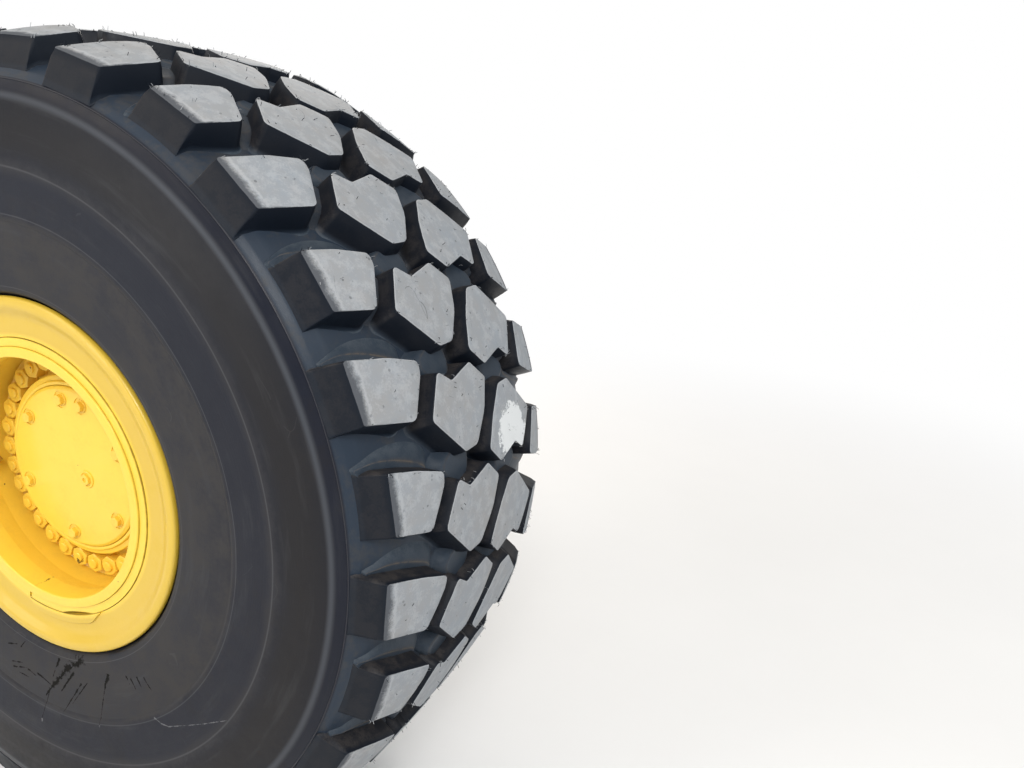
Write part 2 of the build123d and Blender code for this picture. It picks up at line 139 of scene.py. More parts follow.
def rounded(corners: Sequence[Corner], step: float = ARC_STEP, closed: bool = True) -> list[Point]:
    """Outline with its corners rounded.

    Args:
        corners: Points of (x, y), or (x, y, radius) where the corner is rounded.
        step: Largest turn between two points of an arc.
        closed: Whether the last point joins the first.

    Returns:
        The points of the rounded outline.
    """
    points: list[Point] = []
    count = len(corners)
    for index, corner in enumerate(corners):
        here = Vector(corner[:2])
        radius = corner[2] if len(corner) > 2 else 0.0
        if radius <= 0 or (not closed and index in (0, count - 1)):
            points.append((here.x, here.y))
            continue
        back = Vector(corners[index - 1][:2]) - here
        ahead = Vector(corners[(index + 1) % count][:2]) - here
        opening = back.angle(ahead)
        reach = radius / tan(opening / 2)
        limit = 0.48 * min(back.length, ahead.length)
        if reach > limit:
            radius *= limit / reach
            reach = limit
        inward = (back.normalized() + ahead.normalized()).normalized()
        middle = here + inward * (radius / sin(opening / 2))
        start = here + back.normalized() * reach - middle
        sweep = start.angle_signed(here + ahead.normalized() * reach - middle)
        pieces = max(1, round(abs(sweep) / step))
        for piece in range(pieces + 1):
            part = -sweep * piece / pieces
            x = start.x * cos(part) - start.y * sin(part)
            y = start.x * sin(part) + start.y * cos(part)
            points.append((middle.x + x, middle.y + y))
    return points


def smooth_line(points: Sequence[Point], spacing: float) -> list[Point]:
    """Smooth line through points, as Catmull-Rom spans.

    Args:
        points: Points that the line passes through.
        spacing: About how far apart the returned points are.

    Returns:
        Points along the line, the given ones among them.
    """
    line: list[Point] = []
    last = len(points) - 1
    for index in range(last):
        before, start = Vector(points[max(0, index - 1)]), Vector(points[index])
        end, after = Vector(points[index + 1]), Vector(points[min(last, index + 2)])
        pieces = max(1, round((end - start).length / spacing))
        for piece in range(pieces):
            t = piece / pieces
            place = 0.5 * (
                2 * start
                + (end - before) * t
                + (2 * before - 5 * start + 4 * end - after) * t * t
                + (3 * start - before - 3 * end + after) * t * t * t
            )
            line.append((place.x, place.y))
    line.append(tuple(points[last]))
    return line


def placed(name: str, data: bpy.types.ID) -> bpy.types.Object:
    """New object in the scene.

    Args:
        name: Its name.
        data: Its mesh, lamp or camera.

    Returns:
        The object.
    """
    made = bpy.data.objects.new(name, data)
    bpy.context.scene.collection.objects.link(made)
    return made


def mesh_from(verts: Sequence[Vector], faces: Sequence[Sequence[int]]) -> Mesh:
    """Mesh with its normals facing out.

    Args:
        verts: Its points.
        faces: The point numbers of each face.

    Returns:
        The mesh.
    """
    mesh = bpy.data.meshes.new("mesh")
    mesh.from_pydata(verts, [], faces)
    form = bmesh.new()
    form.from_mesh(mesh)
    bmesh.ops.recalc_face_normals(form, faces=form.faces)
    form.to_mesh(mesh)
    form.free()
    return mesh


def joined(meshes: Sequence[Mesh]) -> Mesh:
    """One mesh of several.

    Args:
        meshes: The meshes, which are used up.

    Returns:
        The one mesh.
    """
    whole = bmesh.new()
    for mesh in meshes:
        whole.from_mesh(mesh)
        bpy.data.meshes.remove(mesh)
    result = bpy.data.meshes.new("mesh")
    whole.to_mesh(result)
    whole.free()
    return result


def turned_mesh(outline: Sequence[Point], segments: int = 192, closed: bool = True) -> Mesh:
    """Turn an outline about the wheel's axis.

    Args:
        outline: Points of (radius, distance from the wheel's centre plane).
        segments: Number of steps round the axis.
        closed: Whether the outline's last point joins its first.

    Returns:
        The turned mesh in the row frame.
    """
    verts: list[Vector] = []
    rings: list[list[int]] = []
    for radius, distance in outline:
        first = len(verts)
        if radius < 1e-5:
            verts.append(polar(0, distance, 0))
            rings.append([first] * segments)
            continue
        verts.extend(polar(radius, distance, turn) for turn in turns(segments))
        rings.append(list(range(first, first + segments)))
    pairs = list(zip(rings, rings[1:]))
    if closed:
        pairs.append((rings[-1], rings[0]))
    faces = []
    for low, high in pairs:
        for k in range(segments):
            corners = [low[k], low[(k + 1) % segments], high[(k + 1) % segments], high[k]]
            face = list(dict.fromkeys(corners))
            if len(face) > 2:
                faces.append(face)
    return mesh_from(verts, faces)


def lofted(loops: Sequence[Sequence[Vector]]) -> Mesh:
    """Skin between closed loops, with flat ends.

    Args:
        loops: The loops in order, of equal length.

    Returns:
        The closed mesh.
    """
    count = len(loops[0])
    verts = [point for loop in loops for point in loop]
    faces: list[list[int]] = []
    for base in range(0, len(verts) - count, count):
        for k in range(count):
            after = (k + 1) % count
            faces.append([base + k, base + after, base + count + after, base + count + k])
    faces.append(list(range(count)))
    faces.append(list(range(len(verts) - count, len(verts))))
    return mesh_from(verts, faces)


def carved(mesh: Mesh, cutters: Sequence[Mesh]) -> Mesh:
    """Cut closed meshes out of another closed mesh.

    Args:
        mesh: The mesh to cut, which is used up.
        cutters: What is cut away, used up as well.

    Returns:
        The cut mesh.
    """
    target = placed("carved", mesh)
    tool = placed("cutters", joined(cutters))
    cut = target.modifiers.new("cut", "BOOLEAN")
    cut.operation = "DIFFERENCE"
    cut.solver = "EXACT"
    cut.object = tool
    bpy.context.view_layer.update()
    result = bpy.data.meshes.new_from_object(target.evaluated_get(bpy.context.evaluated_depsgraph_get()))
    for made in (target, tool):
        used = made.data
        bpy.data.objects.remove(made)
        bpy.data.meshes.remove(used)
    return result


@dataclass
class Dresser:
    """Turns meshes into pieces that ride on the frame, and counts them."""

    pieces: int = 0

    def piece(self, name: str, mesh: Mesh, look: Look, node: str = "", sharp: float = SHARP_ANGLE) -> None:
        """Place one mesh in the scene.

        Args:
            name: The piece's name.
            mesh: Its mesh, in the row frame.
            look: What it is made of.
            node: The CAD node that it replaces, if there is one.
            sharp: Edges that turn by more than this stay crisp.
        """
        mesh.name = name
        mesh.materials.append(bpy.data.materials[look.finish])
        mesh.shade_smooth()
        mesh.set_sharp_from_angle(angle=sharp)
        made = placed(name, mesh)
        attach(made, look.body.value)
        if node:
            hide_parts(node)
        self.pieces += 1
        log.info("%s: %d faces on %s", name, len(mesh.polygons), look.body.value)

    def turned(
        self,
        name: str,
        look: Look,
        node: str,
        corners: Sequence[Corner],
        segments: int = 192,
        closed: bool = True,
    ) -> None:
        """Place a turned piece.

        Args:
            name: The piece's name.
            look: What it is made of.
            node: The CAD node that it replaces.
            corners: Its outline's corners, as (radius, distance) or (radius, distance, corner radius).
            segments: Number of steps round the axis.
            closed: Whether the last corner joins the first.
        """
        self.piece(name, turned_mesh(rounded(corners, closed=closed), segments, closed), look, node)


@dataclass
class Seat:
    """A flat place where a fastener sits: its centre, the way it faces, and a direction in it."""

    centre: Vector
    facing: Vector
    across: Vector

    @staticmethod
    def on_wheel(radius: float, distance: float, turn: float, side: Side = Side.OUTER) -> "Seat":
        """Seat across the axis, facing out of one side of the wheel.

        Args:
            radius: Distance of its centre from the axis.
            distance: Its distance from the wheel's centre plane.
            turn: Its angle from the top.
            side: The side that it faces.

        Returns:
            The seat.
        """
        facing = Vector((0, side.value, 0))
        return Seat(polar(radius, distance, turn), facing, Vector((cos(turn), 0, -sin(turn))))

    def at(self, x: float, y: float, height: float = 0.0) -> Vector:
        """Point at (x, y) in the seat's plane, at a height over it."""
        return self.centre + self.across * x + self.facing.cross(self.across) * y + self.facing * height

    def circle(self, radius: float, height: float, samples: int) -> list[Vector]:
        """Points on a circle over the seat's centre."""
        return [self.at(radius * cos(turn), radius * sin(turn), height) for turn in turns(samples)]

    def round_form(self, profile: Sequence[Point], samples: int) -> Mesh:
        """Round form over the seat, from points of (radius, height)."""
        return lofted([self.circle(radius, height, samples) for radius, height in profile])


@dataclass(frozen=True)
class HexHead:
    """A hexagon bolt head or nut, chamfered, with its washer and the end of its stud."""

    across_flats: float
    height: float
    washer_radius: float
    washer_height: float
    stud_radius: float = 0.0
    stud_height: float = 0.0
    socket_flats: float = 0.0
    samples: int = 36
    corner: float = 1.135
    chamfer: float = 0.95
    chamfer_angle: float = radians(30)

    def hexagon(self, seat: Seat) -> Mesh:
        """The hexagon itself, its corners a little rounded and chamfered at the top.

        Args:
            seat: Where the fastener sits.

        Returns:
            The hexagon over its washer.
        """
        flat = self.across_flats / 2
        top = self.washer_height + self.height
        bevel = flat * self.chamfer
        side = [
            min(flat / cos((turn + pi / 6) % (pi / 3) - pi / 6), flat * self.corner)
            for turn in turns(self.samples)
        ]

        def level(value: float) -> list[float]:
            """The same value at every angle."""
            return [value] * self.samples

        rings = [
            (side, level(self.washer_height)),
            (side, [top - max(0.0, radius - bevel) * tan(self.chamfer_angle) for radius in side]),
            (level(bevel), level(top)),
        ]
        if self.socket_flats:
            inner = self.socket_flats / 2
            bore = [min(inner * 1.08, radius * inner / flat) for radius in side]
            rings.append((level(inner * 1.12), level(top)))
            rings.append((bore, level(top - self.height * 0.1)))
            rings.append((bore, level(top - self.height * 0.6)))
        return lofted([
            [
                seat.at(radius * cos(turn), radius * sin(turn), height)
                for turn, radius, height in zip(turns(self.samples), radii, heights)
            ]
            for radii, heights in rings
        ])

    def mesh(self, seat: Seat) -> Mesh:
        """The whole fastener.

        Args:
            seat: Where it sits.

        Returns:
            Its washer, hexagon and stud in one mesh.
        """
        edge = min(0.001, self.washer_height * 0.3)
        washer = [
            (self.washer_radius, -0.0005),
            (self.washer_radius, self.washer_height - edge),
            (self.washer_radius - edge, self.washer_height),
        ]
        parts = [seat.round_form(washer, self.samples), self.hexagon(seat)]
        if self.stud_radius:
            top = self.washer_height + self.height
            stud = [
                (self.stud_radius, top - 0.001),
                (self.stud_radius, top + self.stud_height - 0.0015),
                (self.stud_radius - 0.002, top + self.stud_height),
            ]
            parts.append(seat.round_form(stud, self.samples))
        return joined(parts)


@dataclass(frozen=True)
class Signal:
    """One output of a shader node, which can be added, subtracted and multiplied."""

    nodes: "Nodes"
    socket: bpy.types.NodeSocket

    def __add__(self, other: Value) -> "Signal":
        """Sum of the two."""
        return self.nodes.maths("ADD", self, other)

    def __sub__(self, other: Value) -> "Signal":
        """This less the other."""
        return self.nodes.maths("SUBTRACT", self, other)

    def __rsub__(self, other: Value) -> "Signal":
        """The other less this."""
        return self.nodes.maths("SUBTRACT", other, self)

    def __mul__(self, other: Value) -> "Signal":
        """Product of the two."""
        return self.nodes.maths("MULTIPLY", self, other)

    def beside(self, name: str) -> "Signal":
        """Another output of the same node."""
        return Signal(self.nodes, self.socket.node.outputs[name])


class Nodes:
    """Short ways to lay out shader nodes in one tree."""

    def __init__(self, tree: bpy.types.NodeTree) -> None:
        """Keep the tree that nodes go into."""
        self.tree = tree

    def feed(self, socket: bpy.types.NodeSocket, value: Value) -> None:
        """Link a signal to a socket, or set the socket's value.

        Args:
            socket: The input.
            value: A signal, a number, a vector or a colour.
        """
        if isinstance(value, Signal):
            self.tree.links.new(value.socket, socket)
        elif isinstance(value, (int, float)):
            socket.default_value = value
        else:
            filled = tuple(value)
            socket.default_value = filled + (1.0,) if len(filled) == 3 and socket.type == "RGBA" else filled

    def add(
        self,
        kind: str,
        *given: Value,
        output: Union[int, str] = 0,
        inputs: Optional[dict[Union[int, str], Value]] = None,
        **settings: object,
    ) -> Signal:
        """Add a node.

        Args:
            kind: Its type without the ShaderNode prefix.
            given: Values of its first inputs.
            output: The output that is read.
            inputs: Values of other inputs, by name or place.
            settings: Properties of the node.

        Returns:
            The output.
        """
        node = self.tree.nodes.new("ShaderNode" + kind)
        for name, value in settings.items():
            setattr(node, name, value)
        for name, value in {**dict(enumerate(given)), **(inputs or {})}.items():
            self.feed(node.inputs[name], value)
        return Signal(self, node.outputs[output])

    def maths(self, operation: str, first: Value, second: Value = 0.0, clamp: bool = False) -> Signal:
        """Result of a maths node."""
        return self.add("Math", first, second, operation=operation, use_clamp=clamp)

    def vector(self, operation: str, first: Value, second: Value = (0.0, 0.0, 0.0)) -> Signal:
        """Result of a vector maths node.

        Args:
            operation: The operation's name.
            first: A vector.
            second: A vector, or a number that scales the first.

        Returns:
            The vector, or the number where the operation gives one.
        """
        output = "Value" if operation in ("DOT_PRODUCT", "DISTANCE", "LENGTH") else "Vector"
        inputs = {0: first, "Scale" if operation == "SCALE" else 1: second}
        return self.add("VectorMath", output=output, inputs=inputs, operation=operation)

    def place(self) -> Signal:
        """Point of the surface, in the row frame at rest."""
        return self.add("TexCoord", output="Object")

    def noise(self, place: Value, scale: Value, detail: float, roughness: float = 0.5) -> Signal:
        """Noise about a half."""
        inputs = {"Vector": place, "Scale": scale, "Detail": detail, "Roughness": roughness}
        return self.add("TexNoise", inputs=inputs)

    def stripes(self, value: Value, detail: float) -> Signal:
        """Noise that changes along one value."""
        inputs = {"W": value, "Scale": 1.0, "Detail": detail}
        return self.add("TexNoise", inputs=inputs, noise_dimensions="1D")

    def mixed(self, share: Value, first: Value, second: Value) -> Signal:
        """Colour that lies a share of the way from first to second."""
        return self.add("Mix", output=2, inputs={0: share, 6: first, 7: second}, data_type="RGBA")

    def layered(self, base: Value, *coats: tuple[Value, Value]) -> Value:
        """Colour with coats laid over it.

        Args:
            base: The colour underneath.
            coats: The mask and the colour of each coat, in the order in which they lie.

        Returns:
            The colour on top.
        """
        for mask, colour in coats:
            base = self.mixed(mask, base, colour)
        return base

    def band(self, value: Value, low: float, high: float, start: float = 0.0, end: float = 1.0) -> Signal:
        """Smooth step of a value between two limits, from start to end."""
        return self.add("MapRange", value, low, high, start, end, interpolation_type="SMOOTHSTEP")

    def ring(self, value: Value, centre: float, width: float) -> Signal:
        """Mask that is 1 where a value is at the centre and falls to 0 at a width from it."""
        return self.band(self.maths("ABSOLUTE", value - centre), 0.0, width, 1.0, 0.0)

    def effect(self, name: str, **inputs: Value) -> Signal:
        """First output of a shared effect.

        Args:
            name: The effect's name.
            inputs: Its inputs, with underscores for the spaces in their names.

        Returns:
            The output.
        """
        named = {label.replace("_", " "): value for label, value in inputs.items()}
        return self.add("Group", inputs=named, node_tree=bpy.data.node_groups[name])

    def mark(self, stroke: Stroke, ragged: float) -> Signal:
        """Mask of one tapering mark on the wheel's outer side."""
        start, end = ((x, 0.0, z) for x, z in stroke[:2])
        return self.effect("stroke", Start=start, End=end, Width=stroke[2], Ragged=ragged)


class Effects:
    """Shader effects that several finishes share, each built once as a node group."""

    def __init__(self) -> None:
        """Build every effect, with the defaults of its inputs; None stands for a vector."""
        self.group(self.place_on_wheel, {})
        self.group(self.mottle, {"Scale": 8.0, "Contrast": 1.0, "Offset": 0.0})
        self.group(self.specks, {"Scale": 90.0, "Size": 0.12, "Share": 0.3})
        self.group(self.scratches, {"Scale": 6.0, "Width": 0.012, "Share": 0.5})
        self.group(self.grain, {"Scale": 300.0, "Depth": 0.0002, "Extra Height": 0.0})
        self.group(self.stroke, {"Start": None, "End": None, "Width": 0.003, "Ragged": 0.6})

    @staticmethod
    def group(rule: Callable[..., dict[str, Signal]], inputs: dict[str, Optional[float]]) -> None:
        """Make a node group, named after its rule.

        Args:
            rule: Lays out the nodes from the group's inputs, and gives its outputs by name.
            inputs: The default of each input, by name.
        """
        tree = bpy.data.node_groups.new(rule.__name__, "ShaderNodeTree")
        for label, default in inputs.items():
            kind = "NodeSocketVector" if default is None else "NodeSocketFloat"
            socket = tree.interface.new_socket(name=label, in_out="INPUT", socket_type=kind)
            if default is not None:
                socket.default_value = default
        nodes = Nodes(tree)
        given = tree.nodes.new("NodeGroupInput")
        results = rule(nodes, *(Signal(nodes, given.outputs[label]) for label in inputs))
        for label, result in results.items():
            kind = "NodeSocketFloat" if result.socket.type == "VALUE" else "NodeSocketVector"
            tree.interface.new_socket(name=label, in_out="OUTPUT", socket_type=kind)
        out = tree.nodes.new("NodeGroupOutput")
        for label, result in results.items():
            nodes.feed(out.inputs[label], result)

    @staticmethod
    def place_on_wheel(nodes: Nodes) -> dict[str, Signal]:
        """Radius, distance from the centre plane, and turn of a point on the wheel.

        Args:
            nodes: The group's nodes.

        Returns:
            The three values.
        """
        x = nodes.add("SeparateXYZ", nodes.place())
        y, z = x.beside("Y"), x.beside("Z")
        return {
            "Radius": nodes.maths("SQRT", x * x + z * z),
            "Distance": y - WHEEL_PLANE,
            "Turn": nodes.maths("ARCTAN2", x, z),
        }

    @staticmethod
    def mottle(nodes: Nodes, scale: Signal, contrast: Signal, offset: Signal) -> dict[str, Signal]:
        """Soft patches of two sizes, as a mask about a half.

        Args:
            nodes: The group's nodes.
            scale: How many large patches there are in a metre.
            contrast: How far the mask departs from a half.
            offset: Moves the patches, so that two masks differ.

        Returns:
            The mask.
        """
        place = nodes.vector("ADD", nodes.place(), offset)
        coarse = nodes.noise(place, scale, 5.0, 0.6)
        fine = nodes.noise(place, scale * 7.3, 4.0, 0.65)
        spread = (coarse * 0.65 + fine * 0.35 - 0.5) * (contrast * 3.0)
        return {"Mask": nodes.maths("ADD", spread, 0.5, clamp=True)}

    @staticmethod
    def specks(nodes: Nodes, scale: Signal, size: Signal, share: Signal) -> dict[str, Signal]:
        """Small scattered spots, as a mask.

        Args:
            nodes: The group's nodes.
            scale: How many places for a spot there are in a metre.
            size: Radius of a spot, as a share of its place.
            share: Share of the places that hold a spot.

        Returns:
            The mask.
        """
        inputs = {"Vector": nodes.place(), "Scale": scale, "Randomness": 1.0}
        cells = nodes.add("TexVoronoi", output="Distance", inputs=inputs)
        chosen = nodes.maths("LESS_THAN", nodes.add("SeparateColor", cells.beside("Color")), share)
        return {"Mask": nodes.maths("LESS_THAN", cells, size) * chosen}

    @staticmethod
    def scratches(nodes: Nodes, scale: Signal, width: Signal, share: Signal) -> dict[str, Signal]:
        """Thin stray scratches in changing directions, as a mask.

        Args:
            nodes: The group's nodes.
            scale: How many scratches there are in a metre.
            width: Width of a scratch, as a share of their spacing.
            share: Higher values keep more of them.

        Returns:
            The mask.
        """
        place = nodes.place()
        bent = nodes.vector("ADD", place, nodes.noise(place, 3.0, 2.0).beside("Color"))
        inputs = {"Vector": bent, "Scale": scale}
        lines = nodes.add("TexVoronoi", output="Distance", inputs=inputs, feature="DISTANCE_TO_EDGE")
        kept = nodes.maths("LESS_THAN", nodes.noise(place, 11.0, 3.0), share)
        return {"Mask": nodes.maths("LESS_THAN", lines, width) * kept}

    @staticmethod
    def grain(nodes: Nodes, scale: Signal, depth: Signal, extra: Signal) -> dict[str, Signal]:
        """Fine surface relief, as a normal.

        Args:
            nodes: The group's nodes.
            scale: How many grains there are in a metre.
            depth: Their depth in metres.
            extra: Further height in metres.

        Returns:
            The normal.
        """
        height = (nodes.noise(nodes.place(), scale, 4.0, 0.6) - 0.5) * depth + extra
        return {"Normal": nodes.add("Bump", inputs={"Height": height, "Strength": 1.0, "Distance": 1.0})}

    @staticmethod
    def stroke(
        nodes: Nodes, start: Signal, end: Signal, width: Signal, ragged: Signal
    ) -> dict[str, Signal]:
        """One tapering mark between two points of the sidewall, as a mask.

        Args:
            nodes: The group's nodes.
            start: Where the mark is widest, with no distance along the axis.
            end: Where it runs out.
            width: Half its width at the start.
            ragged: How torn its edge is.

        Returns:
            The mask.
        """
        place = nodes.place()
        way = nodes.vector("SUBTRACT", end, start)
        gone = nodes.vector("SUBTRACT", nodes.vector("MULTIPLY", place, (1, 0, 1)), start)
        covered, whole = (nodes.vector("DOT_PRODUCT", line, way) for line in (gone, way))
        share = nodes.maths("DIVIDE", covered, whole, clamp=True)
        away = nodes.vector("DISTANCE", gone, nodes.vector("SCALE", way, share))
        torn = (nodes.noise(place, 75.0, 6.0, 0.7) - 0.5) * (ragged * 6.0) + 1.0
        edge = nodes.maths("MAXIMUM", width * (1.0 - share * 0.6) * torn, 0.00001)
        return {"Mask": nodes.band(nodes.maths("DIVIDE", away, edge), 0.45, 1.25, 1.0, 0.0)}


class Skin(Nodes):
    """Nodes of a new material, round its Principled BSDF."""

    def __init__(self, name: str) -> None:
        """Start the material.

        Args:
            name: The material's name.
        """
        self.material = bpy.data.materials.new(name)
        self.material.use_nodes = True
        super().__init__(self.material.node_tree)
        self.surface = self.tree.nodes["Principled BSDF"]

    def dress(self, **inputs: Value) -> None:
        """Feed the surface; underscores stand for the spaces in the names of its inputs."""
        for name, value in inputs.items():
            self.feed(self.surface.inputs[name.replace("_", " ")], value)

    def relief(self, scale: float, depth: float, height: Value = 0.0) -> Signal:
        """Normal of a fine grain, on further height in metres."""
        return self.effect("grain", Scale=scale, Depth=depth, Extra_Height=height)


@dataclass(frozen=True)
class PaintFinish:
    """Gloss or satin enamel over steel or cast iron, with painted shade on the outer flange and at the part
    joints where given.
    """

    name: str
    colour: Colour
    shade: Colour
    roughness: float = 0.34
    coat: float = 0.15
    peel_scale: float = 160.0
    peel_depth: float = 0.0002
    dust: Colour = (0.36, 0.24, 0.10)
    dust_share: float = 0.07
    chip: Colour = (0.16, 0.08, 0.03)
    chip_share: float = 0.012
    # Colour of the oil stain, and of the painted shade in the joints between parts.
    grime: Colour = (0.035, 0.022, 0.010)
    seams: Sequence[tuple[float, float, float]] = ()
    stains: Sequence[Stroke] = ()
    # Painted shade: past film_from the flange is painted darker and more orange than the rest of the wheel.
    film: Colour = (0.63, 0.425, 0.042)
    film_from: float = 0.0

    def build(self) -> None:
        """Make the material."""
        skin = Skin(self.name)
        patches = skin.effect("mottle", Scale=5.0, Contrast=0.9)
        clouds = skin.effect("mottle", Scale=19.0, Contrast=1.2, Offset=3.7)
        chips = skin.effect("specks", Scale=55.0, Size=0.10, Share=self.chip_share)
        dusty = skin.band(clouds, 0.45, 0.95) * self.dust_share
        tone = skin.layered(self.colour, (patches, self.shade), (dusty, self.dust), (chips, self.chip))
        radius = skin.effect("place_on_wheel")
        # Painted shade on the flange: past this radius the colour goes 85 percent of the way to the darker
        # flange colour.
        if self.film_from > 0:
            film = skin.band(radius, self.film_from, self.film_from + 0.012, 0.0, 0.85)
            tone = skin.mixed(film, tone, self.film)
        # Dark patchy rings at the part joints on the outer side: grime and painted shade in the gaps.
        for seam, width, strength in self.seams:
            front = skin.maths("LESS_THAN", radius.beside("Distance"), -0.24)
            patchy = skin.band(patches, 0.2, 0.7, strength * 0.4, strength)
            tone = skin.mixed(skin.ring(radius, seam, width) * front * patchy, tone, self.grime)
        for stain in self.stains:
            tone = skin.mixed(skin.mark(stain, 1.0) * 0.9, tone, self.grime)
        skin.dress(
            Base_Color=tone,
            Roughness=clouds * 0.14 + (self.roughness - 0.05) + dusty * 1.2,
            Coat_Weight=self.coat,
            Coat_Roughness=0.12,
            Normal=skin.relief(self.peel_scale, self.peel_depth),
        )


@dataclass(frozen=True)
class MetalFinish:
    """Bare turned steel or dull brass."""

    name: str
    colour: Colour
    stain: Colour
    roughness: float = 0.3

    def build(self) -> None:
        """Make the material."""
        skin = Skin(self.name)
        clouds = skin.effect("mottle", Scale=24.0, Contrast=1.3)
        stained = skin.band(clouds, 0.5, 1.0)
        rings = skin.stripes(skin.effect("place_on_wheel").beside("Distance") * 900.0, 2.0)
        skin.dress(
            Base_Color=skin.mixed(stained, self.colour, self.stain),
            Roughness=clouds * 0.25 + (self.roughness - 0.08),
            Metallic=skin.band(stained, 0.0, 1.0, 1.0, 0.55),
            Normal=skin.relief(400.0, 0.00008, rings * 0.00006),
        )


@dataclass(frozen=True)
class SealFinish:
    """Moulded black rubber of a shaft seal."""

    name: str = "seal_black"
    colour: Colour = (0.018, 0.018, 0.02)
    grease: Colour = (0.06, 0.045, 0.03)

    def build(self) -> None:
        """Make the material."""
        skin = Skin(self.name)
        smears = skin.effect("mottle", Scale=30.0, Contrast=1.4)
        skin.dress(
            Base_Color=skin.mixed(smears, self.colour, self.grease),
            Roughness=skin.band(smears, 0.2, 0.9, 0.5, 0.28),
            Normal=skin.relief(500.0, 0.0001),
        )


